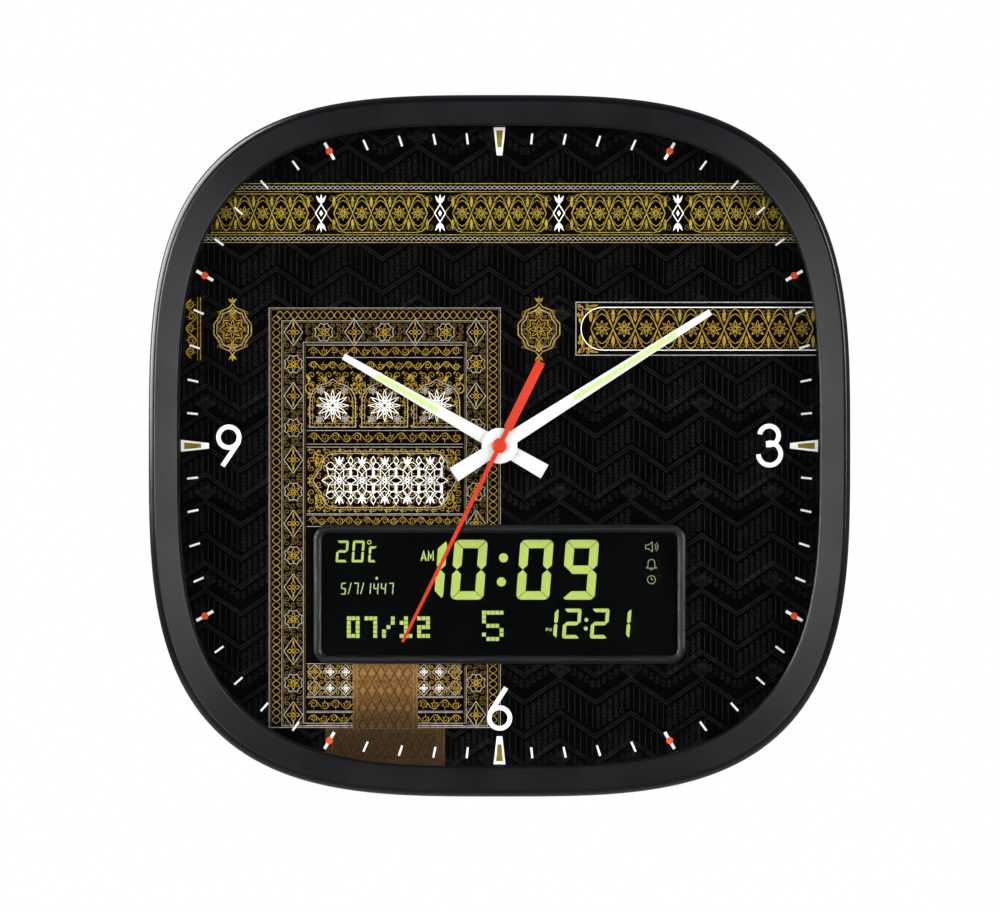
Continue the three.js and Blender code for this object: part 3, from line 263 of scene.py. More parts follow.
@dataclass(frozen=True)
class Plastic(Finish):
    """Moulded plastic with a spark-eroded grain, a faint cloudiness and a satin gloss."""

    colour: Colour
    roughness: float = 0.42
    grain: float = 0.55
    depth: float = 0.006
    spread: float = 0.12
    specular: float = 0.5
    coat: float = 0.0

    def sockets(self, graph: Graph) -> Sockets:
        """Writes the moulded surface.

        Args:
            graph: the material's nodes.

        Returns:
            Values and wires for the shader.
        """
        base = linear(self.colour)[:3]
        cloud, grain = graph.noise(26, 3), graph.noise(self.grain, 3)
        low = (*[value * (1 - self.spread) for value in base], 1)
        high = (*[min(1, value * (1 + self.spread)) for value in base], 1)
        return {
            "Base Color": graph.blend(cloud * 0.6 + grain * 0.4, low, high),
            "Roughness": self.roughness + 0.16 * (cloud - 0.5) + 0.12 * (grain - 0.5),
            "Specular IOR Level": self.specular,
            "Coat Weight": self.coat,
            "Normal": graph.bump(grain, self.depth),
        }


@dataclass(frozen=True)
class Metal(Finish):
    """Rolled or turned metal with fine drawn lines and a little tarnish."""

    colour: Colour
    tarnish: Colour
    roughness: float = 0.32
    lines: Triple = (12, 1, 1)

    def sockets(self, graph: Graph) -> Sockets:
        """Writes the drawn surface.

        Args:
            graph: the material's nodes.

        Returns:
            Values and wires for the shader.
        """
        drawn = graph.noise(0.35, 3, self.lines)
        cloud = graph.noise(4, 4).ramp(0.35, 0.8)
        return {
            "Base Color": graph.blend(cloud * 0.6, linear(self.colour), linear(self.tarnish)),
            "Metallic": 1.0,
            "Roughness": self.roughness + 0.2 * (drawn - 0.5) + 0.14 * cloud,
            "Normal": graph.bump(drawn, 0.008),
        }


@dataclass(frozen=True)
class Ink(Finish):
    """Screen-printed ink, a little uneven, on the dial sheet."""

    colour: Colour
    shade: Colour
    roughness: float = 0.55
    patch: float = 3.0
    glow: float = 0.0
    specular: float = 0.12

    def sockets(self, graph: Graph) -> Sockets:
        """Writes the printed surface.

        Args:
            graph: the material's nodes.

        Returns:
            Values and wires for the shader.
        """
        tooth = graph.noise(0.25, 2)
        cloud = graph.noise(self.patch, 3).ramp(0.3, 0.75)
        tone = graph.blend(cloud, linear(self.colour), linear(self.shade))
        lit = {"Emission Color": tone} if self.glow else {}
        return {
            "Base Color": tone,
            "Roughness": self.roughness + 0.15 * (tooth - 0.5),
            "Specular IOR Level": self.specular,
            "Emission Strength": self.glow,
            "Normal": graph.bump(tooth, 0.003),
            **lit,
        }


@dataclass(frozen=True)
class Brocade(Finish):
    """Ink printed as a gold-brown cloth that darkens towards its hem."""

    top: Colour
    hem: Colour
    levels: Point = (-138, -104)
    thread: float = 0.9

    def sockets(self, graph: Graph) -> Sockets:
        """Writes the fade and the thread of the cloth.

        Args:
            graph: the material's nodes.

        Returns:
            Values and wires for the shader.
        """
        across, _, up = graph.axes()
        fade = (up / MM).ramp(*self.levels)
        speck = graph.noise(1.1, 3).ramp(0.35, 0.7)
        tone = graph.blend(fade, linear(self.hem), linear(self.top))
        dark = graph.blend(fade, faded(self.hem, 0.62), faded(self.top, 0.66))
        cloth = speck * 0.75 + across.waves(self.thread) * up.waves(self.thread) * 0.15
        return {
            "Base Color": graph.blend(cloth, tone, dark),
            "Roughness": 0.6 + 0.1 * (speck - 0.5),
            "Specular IOR Level": 0.12,
            "Normal": graph.bump(speck, 0.003),
        }


@dataclass(frozen=True)
class Clear(Finish):
    """Clear or smoked pane that lets the lamps through to what lies behind it."""

    tint: Colour
    refraction: float = 1.45

    def sockets(self, graph: Graph) -> Sockets:
        """Writes the pane."""
        return {
            "Base Color": linear(self.tint),
            "Roughness": 0.0,
            "IOR": self.refraction,
            "Transmission Weight": 1.0,
            "Normal": graph.bump(graph.noise(40, 1), 0.002, 0.2),
        }

    def shader(self, graph: Graph) -> Wire:
        """Writes the pane with its clear shadow."""
        through = graph.wire("ShaderNodeBsdfTransparent", None, {"Color": linear(self.tint)})
        shadow = graph.wire("ShaderNodeLightPath", out="Is Shadow Ray")
        return graph.mix(shadow, super().shader(graph), through)


@dataclass(frozen=True)
class Laminate(Finish):
    """Circuit board with solder mask, copper tracks under it and tinned pads."""

    pitch: float = 2.54
    mask: Colour = (22, 84, 48)
    track: Colour = (40, 120, 70)
    pad: Colour = (200, 200, 190)

    def sockets(self, graph: Graph) -> Sockets:
        """Writes the board.

        Args:
            graph: the material's nodes.

        Returns:
            Values and wires for the shader.
        """
        across, _, up = graph.axes()
        track = ((up / (self.pitch * MM) + graph.noise(9, 1) * 3) * math.pi).sine().ramp(0.35, 0.55)
        block = graph.noise(14, 0).ramp(0.56, 0.6)
        pad = (across.waves(self.pitch) * up.waves(self.pitch)).ramp(0.62, 0.72) * block
        board = graph.blend(track, linear(self.mask), linear(self.track))
        return {
            "Base Color": graph.blend(pad, board, linear(self.pad)),
            "Roughness": 0.36 + 0.15 * graph.noise(3, 3) - 0.08 * pad,
            "Normal": graph.bump(track * 0.5 + pad, 0.03),
        }


@dataclass(frozen=True)
class Sleeve(Finish):
    """Shrink sleeve of a dry cell: two plain bands of colour and the bare metal ends."""

    axis: int
    start: float
    end: float
    body: Colour = (34, 36, 42)
    band: Colour = (176, 128, 62)
    can: Colour = (190, 190, 188)

    def sockets(self, graph: Graph) -> Sockets:
        """Writes the sleeve along the cell's own length.

        Args:
            graph: the material's nodes.

        Returns:
            Values and wires for the shader.
        """
        along = (graph.axes()[self.axis] / MM - self.start) / (self.end - self.start)
        band = along.ramp(0.68, 0.685)
        tone = graph.blend(band, linear(self.body), linear(self.band))
        bare = (0.03 - along).ramp(0.0, 0.004).most((along - 0.965).ramp(0.0, 0.004))
        return {
            "Base Color": graph.blend(bare, tone, linear(self.can)),
            "Metallic": bare.most(band * 0.6),
            "Roughness": 0.3 + 0.15 * graph.noise(6, 4).ramp(0.5, 0.9),
            "Normal": graph.bump(graph.noise(1.5, 2), 0.01),
        }


@dataclass(frozen=True)
class Winding(Finish):
    """Enamelled copper wire wound turn by turn along X, with painted shade darkening the grooves between the
    turns.
    """

    pitch: float = 0.28

    def sockets(self, graph: Graph) -> Sockets:
        """Writes the turns and the painted shade between them.

        Args:
            graph: the material's nodes.

        Returns:
            Values and wires for the shader.
        """
        turn = graph.axes()[0].waves(self.pitch) * 0.5 + 0.5
        cloud = graph.noise(2, 2)
        return {
            # Painted shade: the colour follows the bump's height, so the copper is painted dark in the
            # grooves between turns.
            "Base Color": graph.blend(turn * 0.7 + cloud * 0.3, linear((98, 42, 22)), linear((196, 108, 62))),
            "Metallic": 0.75,
            "Roughness": 0.3 + 0.15 * cloud,
            "Normal": graph.bump(turn, 0.08),
        }


@dataclass(frozen=True)
class Pulp(Finish):
    """Pressed paper pulp of a loudspeaker cone: matte, with short fibres."""

    colour: Colour = (34, 33, 32)
    fibre: Colour = (60, 59, 58)

    def sockets(self, graph: Graph) -> Sockets:
        """Writes the fibres."""
        fibre = graph.noise(0.8, 4, (3, 1, 1)) * 0.5 + graph.noise(0.8, 4, (1, 1, 3)) * 0.5
        return {
            "Base Color": graph.blend(fibre.ramp(0.35, 0.7), linear(self.colour), linear(self.fibre)),
            "Roughness": 0.85 + 0.1 * (fibre - 0.5),
            "Normal": graph.bump(fibre, 0.08),
        }


@dataclass(frozen=True)
class Grooved(Finish):
    """Plastic with grooves across X, as on a ribbed grip, with painted shade darkening the bottom of each
    groove.
    """

    colour: Colour
    pitch: float
    depth: float = 0.12

    def sockets(self, graph: Graph) -> Sockets:
        """Writes the grooves and the painted shade in them.

        Args:
            graph: the material's nodes.

        Returns:
            Values and wires for the shader.
        """
        wave = graph.axes()[0].waves(self.pitch) * 0.5 + 0.5
        grain = graph.noise(0.5, 3)
        return {
            # Painted shade: the colour darkens to 60 per cent towards the bottom of each groove, following
            # the bump's height.
            "Base Color": graph.blend(wave.ramp(0.1, 0.5), faded(self.colour, 0.6), linear(self.colour)),
            "Roughness": 0.45 + 0.15 * (grain - 0.5),
            "Normal": graph.bump(wave + 0.1 * grain, self.depth),
        }


@dataclass(frozen=True)
class Pale(Finish):
    """Floor that looks white, still holds a shadow, and hardly shows in a reflection."""

    def sockets(self, graph: Graph) -> Sockets:
        """Writes the matte floor."""
        matte = graph.blend(graph.noise(220, 2), linear((226, 226, 224)), linear((232, 232, 230)))
        return {"Base Color": matte, "Roughness": 0.9}

    def shader(self, graph: Graph) -> Wire:
        """Lights the floor for the eye and clears it for reflections.

        Args:
            graph: the material's nodes.

        Returns:
            The shader.
        """
        names = ("Is Camera Ray", "Is Transmission Ray", "Is Glossy Ray")
        camera, through, glossy = graph.wires("ShaderNodeLightPath", names)
        white = graph.wire("ShaderNodeEmission", None, {"Color": (1, 1, 1, 1), "Strength": 0.98})
        look = graph.mix(camera.most(through) * 0.55, super().shader(graph), white)
        return graph.mix(glossy * 0.85, look, graph.wire("ShaderNodeBsdfTransparent"))


BEZEL = Plastic("satin_bezel", (19, 20, 23), roughness=0.22, grain=0.5, depth=0.002, spread=0.08)
COVER = Plastic("cover_grain", (24, 24, 26), roughness=0.5, grain=1.5, depth=0.09, spread=0.28)
BLACK = Plastic("inner_black", (16, 16, 17), roughness=0.5, grain=0.6, depth=0.01)
# Painted shade: the spacer ring's black is darker than the other black plastic (9 against 16) and has little
# gloss, so that its inner wall, lit by the lamps through the glass, looks shaded.
SHADE = Plastic("spacer_matte_painted_shade", (9, 9, 10), roughness=0.7, grain=0.5, depth=0.01, specular=0.2)
RIM = Plastic("display_rim_satin", (15, 16, 19), 0.4, grain=0.2, depth=0.00005, spread=0.03, specular=0.4)
PANEL_GLASS = Plastic("panel_black_glass", (7, 8, 8), roughness=0.16, grain=2.0, depth=0.0005, specular=0.25)
MOVEMENT = Plastic("movement_case", (38, 38, 40), roughness=0.48, grain=0.6, depth=0.02)
GEAR = Plastic("gear_acetal", (214, 208, 190), roughness=0.4, grain=0.5, depth=0.004, spread=0.05)
GEAR_TINTED = Plastic("gear_tinted", (168, 196, 176), roughness=0.4, grain=0.5, depth=0.004, spread=0.05)
KNOB = Plastic("setting_knob", (72, 73, 75), roughness=0.4, grain=0.5, depth=0.01)
KEY = Plastic("key_cap", (138, 139, 140), roughness=0.45, grain=0.5, depth=0.01, spread=0.05)
GRIP = Grooved("grip_grooves", (138, 139, 140), 0.8)
CHIP = Plastic("chip_resin", (24, 24, 25), roughness=0.62, grain=0.3, depth=0.01)
RUBBER = Plastic("strip_rubber", (196, 120, 130), roughness=0.8, grain=0.4, depth=0.01)
FERRITE = Plastic("ferrite", (46, 45, 46), roughness=0.55, grain=0.9, depth=0.03, spread=0.25)
DIFFUSER = Plastic("light_guide", (226, 230, 228), 0.25, grain=1.2, depth=0.01, spread=0.04, coat=0.3)
WHITE_LACQUER = Plastic("white_lacquer_gloss", (220, 220, 218), 0.3, grain=0.8, depth=0.002, spread=0.03)
RED_LACQUER = Plastic("red_lacquer_gloss", (196, 50, 20), 0.3, 0.8, depth=0.002, spread=0.05, specular=0.3)
STEEL = Metal("bright_steel", (176, 177, 178), (118, 112, 104))
SCREW_STEEL = Metal("black_steel", (66, 66, 68), (40, 38, 36), 0.38)
BRASS = Metal("brass", (204, 164, 88), (140, 104, 52), 0.3, (1, 1, 1))
GLASS = Clear("front_glass_clear", (252, 253, 253))
LENS = Clear("display_lens_smoked", (214, 218, 216), refraction=1.49)
SHEET = Ink("dial_black", (2, 2, 3), (4, 4, 4), roughness=0.75, patch=9, specular=0.008)
WHITE_INK = Ink("white_ink", (250, 250, 248), (240, 240, 238), patch=6)
RULE_INK = Ink("rule_grey_ink", (176, 172, 168), (140, 136, 130), patch=2)
GOLD_INK = Ink("gold_ink", (178, 146, 50), (112, 88, 29), patch=1.6)
BAND_GOLD_INK = Ink("band_gold_ink", (178, 156, 56), (112, 94, 33), patch=1.6)
DIM_GOLD_INK = Ink("dim_gold_ink", (118, 93, 34), (74, 57, 22), patch=2.0)
OLIVE_INK = Ink("olive_gold_ink", (136, 115, 26), (118, 98, 22), patch=4)
BROWN_INK = Ink("brown_ground_ink", (8, 6, 4), (5, 4, 4), patch=5, specular=0.008)
FIELD_INK = Ink("field_black_ink", (3, 3, 3), (5, 4, 4), patch=5, specular=0.008)
WEAVE_INK = Ink("weave_grey_ink", (34, 34, 35), (20, 20, 21), patch=4, specular=0.008)
RED_INK = Ink("red_orange_ink", (230, 86, 46), (218, 74, 38), patch=4)
SEGMENT = Ink("segment_green", (200, 216, 112), (197, 213, 108), roughness=0.5, patch=8, glow=0.7)
PALE_SEGMENT = Ink("segment_pale", (200, 212, 140), (195, 207, 134), roughness=0.5, patch=8, glow=0.7)
ICON = Ink("icon_grey", (186, 196, 156), (178, 188, 148), roughness=0.5, patch=8, glow=0.55)
LUME = Ink("lume_green", (196, 220, 146), (188, 212, 136), roughness=0.8, patch=2)
BROCADE_INK = Brocade("brocade_ground_ink", (138, 100, 52), (60, 40, 15))
BROCADE_LINE_INK = Brocade("brocade_line_ink", (166, 130, 74), (86, 62, 27))
BROCADE_SHADE_INK = Brocade("brocade_shade_ink", (94, 64, 29), (38, 25, 10))


# Modelling by operators, with the selection made in code


def clear() -> None:
    """Leaves edit mode and deselects everything."""
    if bpy.context.mode != "OBJECT":
        bpy.ops.object.mode_set(mode="OBJECT")
    bpy.ops.object.select_all(action="DESELECT")


def pick(piece: Piece) -> None:
    """Selects one object and makes it active."""
    clear()
    piece.select_set(True)
    bpy.context.view_layer.objects.active = piece


def edit(piece: Piece) -> Piece:
    """Enters edit mode with all of a piece selected."""
    pick(piece)
    bpy.ops.object.mode_set(mode="EDIT")
    bpy.ops.mesh.select_all(action="SELECT")
    return piece


def named(name: str) -> Piece:
    """Names the new object and puts its place into its mesh."""
    bpy.ops.object.transform_apply(location=True, rotation=True, scale=True)
    bpy.context.object.name = bpy.context.object.data.name = name
    return bpy.context.object


def circle(name: str, sides: int, radius: float, centre: Point, level: float, fill: str) -> Piece:
    """Starts a piece from a circle that faces the front.

    Args:
        name: the piece's name.
        sides: corners of the circle.
        radius: in mm.
        centre: x and z in mm.
        level: height from the wall in mm.
        fill: NGON for a face, NOTHING for a bare loop.

    Returns:
        The object, in edit mode with all selected.
    """
    clear()
    bpy.ops.mesh.primitive_circle_add(
        vertices=sides, radius=radius * MM, fill_type=fill, location=spot(centre, level), rotation=FACING
    )
    return edit(named(name))


def slab(
    name: str, size: Point, centre: Point, level: float, thick: float = 0, corner: float = 0, steps: int = 6
) -> Piece:
    """Starts a piece from a rectangle that faces the front, with rounded corners.

    Args:
        name: the piece's name.
        size: width and height in mm.
        centre: x and z in mm.
        level: height from the wall in mm.
        thick: how far it is drawn out to the front in mm, negative for towards the wall.
        corner: corner radius in mm.
        steps: segments of a corner.

    Returns:
        The object, in edit mode.
    """
    clear()
    bpy.ops.mesh.primitive_plane_add(size=1, location=spot(centre, level), rotation=FACING)
    bpy.context.object.scale = (size[0] * MM, size[1] * MM, 1)
    piece = edit(named(name))
    if corner:
        bpy.ops.mesh.bevel(offset=corner * MM, segments=steps, affect="VERTICES")
    if thick:
        rise(thick)
    return piece


def rise(depth: float, scale: float = 1.0, centre: Point = (0, 0)) -> None:
    """Extrudes what is selected towards the front.

    Args:
        depth: distance in mm, negative for towards the wall.
        scale: factor on the size of the new loop.
        centre: x and z in mm about which it is scaled.
    """
    bpy.ops.mesh.extrude_region_move(TRANSFORM_OT_translate={"value": (0, -depth * MM, 0)})
    if scale != 1.0:
        bpy.ops.transform.resize(value=(scale, 1, scale), center_override=spot(centre, 0))


def inset(width: float, depth: float = 0.0) -> None:
    """Insets the selected face by a width, with its rise along its own normal, in mm."""
    bpy.ops.mesh.inset(thickness=width * MM, depth=depth * MM, use_even_offset=True)


def smooth(piece: Piece, angle: float) -> None:
    """Smooths the edges of a piece up to an angle in degrees."""
    pick(piece)
    bpy.ops.object.shade_smooth_by_angle(angle=math.radians(angle))


def close(piece: Piece, angle: float = 0.0, bevel: float = 0.0) -> Piece:
    """Merges doubles, turns faces outwards, and leaves edit mode.

    Args:
        piece: the object in edit mode.
        angle: angle in degrees up to which edges are smoothed, or 0.
        bevel: width of a bevel on sharp edges in mm.

    Returns:
        The object.
    """
    bpy.ops.mesh.select_all(action="SELECT")
    bpy.ops.mesh.remove_doubles(threshold=WELD)
    bpy.ops.mesh.normals_make_consistent(inside=False)
    bpy.ops.object.mode_set(mode="OBJECT")
    if sum(face.center.dot(face.normal) * face.area for face in piece.data.polygons) < 0:
        piece.data.flip_normals()
    if bevel:
        modifier = piece.modifiers.new("edge", "BEVEL")
        modifier.width = bevel * MM
        modifier.segments = 2
        modifier.limit_method = "ANGLE"
        modifier.angle_limit = math.radians(SHARP)
        pick(piece)
        bpy.ops.object.modifier_apply(modifier="edge")
    if angle:
        smooth(piece, angle)
    return piece


def combine(piece: Piece, other: Piece, how: str) -> None:
    """Closes another solid, then adds it or cuts it away, which uses it up.

    Args:
        piece: what stays.
        other: the other solid, in edit mode if it is still open.
        how: UNION or DIFFERENCE.
    """
    if bpy.context.mode != "OBJECT":
        close(other)
    modifier = piece.modifiers.new("join", "BOOLEAN")
    modifier.operation = how
    modifier.solver = "EXACT"
    modifier.object = other
    pick(piece)
    bpy.ops.object.modifier_apply(modifier="join")
    bpy.data.objects.remove(other)


def follow(profile: Sequence[Point], centre: Point = (0, 0)) -> None:
    """Draws the selected loop out along a profile of radius and level in mm."""
    for (radius, level), (next_radius, next_level) in zip(profile, profile[1:]):
        rise(next_level - level, next_radius / radius, centre)


def turned(name: str, profile: Sequence[Point], sides: int, centre: Point = (0, 0)) -> Piece:
    """Turns an open profile into a closed solid with flat ends.

    Args:
        name: the piece's name.
        profile: radius and level in mm, from the rear face to the front face.
        sides: corners of the loop.
        centre: x and z in mm.

    Returns:
        The solid in edit mode.
    """
    piece = circle(name, sides, profile[0][0], centre, profile[0][1], "NGON")
    follow(profile, centre)
    return piece


def ring(name: str, profile: Sequence[Point], sides: int) -> Piece:
    """Runs a closed profile round the outline of the case.

    Args:
        name: the piece's name.
        profile: half width and level in mm, in order round the section.
        sides: corners of the loop.

    Returns:
        The closed ring in edit mode.
    """
    piece = circle(name, sides, profile[0][0], (0, 0), profile[0][1], "NOTHING")
    bpy.ops.object.mode_set(mode="OBJECT")
    for vertex in piece.data.vertices:
        factor = squircle(math.atan2(vertex.co.z, vertex.co.x))
        vertex.co = (vertex.co.x * factor, vertex.co.y, vertex.co.z * factor)
    edit(piece)
    follow([*profile, profile[0]])
    return piece


def framed(
    name: str, profile: Sequence[Point], size: Point, corner: float, centre: Point, steps: int = 10
) -> Piece:
    """Runs a closed profile round a rectangle with rounded corners.

    Args:
        name: the piece's name.
        profile: inset from the outline and level in mm, in order round the section.
        size: width and height of the outline in mm.
        corner: its corner radius in mm, more than the greatest inset.
        centre: x and z in mm.
        steps: segments of a corner.

    Returns:
        The closed ring in edit mode.
    """
    sides = ((1, 1), (-1, 1), (-1, -1), (1, -1))
    turns = [(side, math.radians(90 * (quarter + step / steps)))
             for quarter, side in enumerate(sides) for step in range(steps + 1)]
    rings = [[(
        (centre[0] + side[0] * (size[0] / 2 - corner) + (corner - inner) * math.cos(turn)) * MM,
        (centre[1] + side[1] * (size[1] / 2 - corner) + (corner - inner) * math.sin(turn)) * MM,
    ) for side, turn in turns] for inner, _ in profile]
    piece = circle(name, len(turns), size[0], centre, profile[0][1], "NOTHING")
    bpy.ops.object.mode_set(mode="OBJECT")
    for vertex, place in zip(piece.data.vertices, rings[0]):
        vertex.co.x, vertex.co.z = place
    for index, (_, level) in enumerate(profile):
        following = (index + 1) % len(profile)
        bpy.ops.object.mode_set(mode="EDIT")
        rise(profile[following][1] - level)
        bpy.ops.object.mode_set(mode="OBJECT")
        for vertex in piece.data.vertices:
            if vertex.select:
                here = (vertex.co.x, vertex.co.z)
                nearest = min(range(len(turns)), key=lambda item: math.dist(rings[index][item], here))
                vertex.co.x, vertex.co.z = rings[following][nearest]
    bpy.ops.object.mode_set(mode="EDIT")
    return piece


def seat(piece: Piece, finish: Finish, body: str, slot: str, *replaces: str) -> None:
    """Dresses a piece and makes it ride on a body, with the nodes that it stands for.

    Args:
        piece: the finished object.
        finish: its finish.
        body: the body it moves with.
        slot: not used.
        replaces: nodes that it replaces.
    """
    piece.data.materials.clear()
    piece.data.materials.append(finish.material())
    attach(piece, body)
    if replaces:
        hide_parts(*replaces)
    LOG.info("built %s with %d faces on %s", piece.name, len(piece.data.polygons), body)


def finish_nodes(finish: Finish, *names: str) -> None:
    """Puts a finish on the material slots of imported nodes.

    Args:
        finish: the finish.
        names: the nodes.
    """
    for name in names:
        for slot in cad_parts[name].material_slots:
            slot.material = finish.material()
        LOG.info("finished %s with %s", name, finish.name)


# Studio


@dataclass(frozen=True)
class Lamp:
    """Soft box that faces the clock, with its place and size in metres."""

    name: str
    place: Triple
    size: Point
    watts: float
    mirrored: bool = True

    def build(self) -> None:
        """Hangs the lamp."""
        data = bpy.data.lights.new(self.name, "AREA")
        data.shape = "RECTANGLE"
        data.size, data.size_y = self.size
        data.energy = self.watts
        piece = bpy.data.objects.new(self.name, data)
        piece.location = self.place
        piece.rotation_euler = (-Vector(self.place)).to_track_quat("-Z", "Y").to_euler()
        piece.visible_camera = False
        piece.visible_glossy = self.mirrored
        bpy.context.scene.collection.objects.link(piece)


@dataclass
class Studio:
    """Camera, lamps, pale floor and white surroundings, in metres."""

    eye_distance: float = 5.0
    eye: Point = (0.235 * MM, -4.8 * MM)
    sensor: float = 36.0
    dial_front: float = 40.0 * MM
    floor_drop: float = 0.3
    floor_size: float = 1.1
    ambient: float = 0.2
    dark_side: float = 0.008
    bright_side: float = 0.07
    lamps: tuple[Lamp, ...] = (
        Lamp("strip_left", (-0.62, -2.6, 0.0), (0.35, 1.25), 5.5),
        Lamp("strip_right", (0.62, -2.6, 0.0), (0.35, 1.25), 5.2),
        Lamp("soft_left", (-2.4, -1.9, 0.5), (1.2, 1.2), 54),
        Lamp("soft_right", (2.4, -1.9, 0.5), (1.2, 1.2), 62, mirrored=False),
        Lamp("rim_upper_left", (-1.18, 0.63, 0.68), (1.3, 1.5), 29),
        Lamp("side_right", (2.4, 0.25, 0.6), (0.5, 1.2), 15),
        Lamp("back_left", (-1.1, 1.9, 0.9), (1.2, 1.2), 16, mirrored=False),
        Lamp("back_right", (1.2, 2.0, 0.5), (1.2, 1.2), 22, mirrored=False),
    )

    def camera(self) -> None:
        """Sets the camera square on to the dial."""
        data = bpy.data.cameras.new("camera")
        data.sensor_width = self.sensor
        data.lens = self.sensor * self.eye_distance / (IMAGE_WIDTH * PIXEL)
        data.clip_end = 10 * self.eye_distance
        piece = bpy.data.objects.new("camera", data)
        piece.location = (self.eye[0], -self.dial_front - self.eye_distance, self.eye[1])
        piece.rotation_euler = FACING
        bpy.context.scene.collection.objects.link(piece)
        bpy.context.scene.camera = piece

    def surroundings(self) -> None:
        """Writes the world: white to the eye, dim in front of the glass, soft for the rest."""
        world = bpy.data.worlds.new("surroundings")
        world.use_nodes = True
        graph = Graph(world.node_tree)
        names = ("Is Camera Ray", "Is Glossy Ray", "Is Transmission Ray", "Diffuse Depth", "Glossy Depth")
        camera, glossy, through, scattered, mirrored = graph.wires("ShaderNodeLightPath", names)
        unscattered = through * (1 - (scattered > 0.5))
        seen = camera.most(unscattered * (1 - (mirrored > 0.5)))
        glossy = glossy.most(unscattered)
        sky = graph.wire("ShaderNodeTexCoord", out="Generated")
        behind = graph.wires("ShaderNodeSeparateXYZ", (1,), {0: sky})[0].ramp(0.1, 0.7)
        mirror = self.dark_side + (self.bright_side - self.dark_side) * behind
        strength = seen + (1 - seen) * (glossy * mirror + (1 - glossy) * self.ambient)
        back = graph.wire("ShaderNodeBackground", None, {"Color": (1, 1, 1, 1), "Strength": strength})
        graph.node("ShaderNodeOutputWorld", None, {"Surface": back})
        bpy.context.scene.world = world

    def floor(self) -> None:
        """Lays a pale floor below the picture."""
        clear()
        bpy.ops.mesh.primitive_plane_add(size=1, location=(0, 0, -self.floor_drop))
        bpy.context.object.scale = (self.floor_size, self.floor_size, 1)
        piece = named("floor")
        piece.data.materials.append(Pale("floor_pale").material())

    def build(self) -> None:
        """Sets up the whole studio."""
        bpy.context.scene.view_settings.view_transform = "Standard"
        self.camera()
        self.surroundings()
        self.floor()
        for lamp in self.lamps:
            lamp.build()


# Case


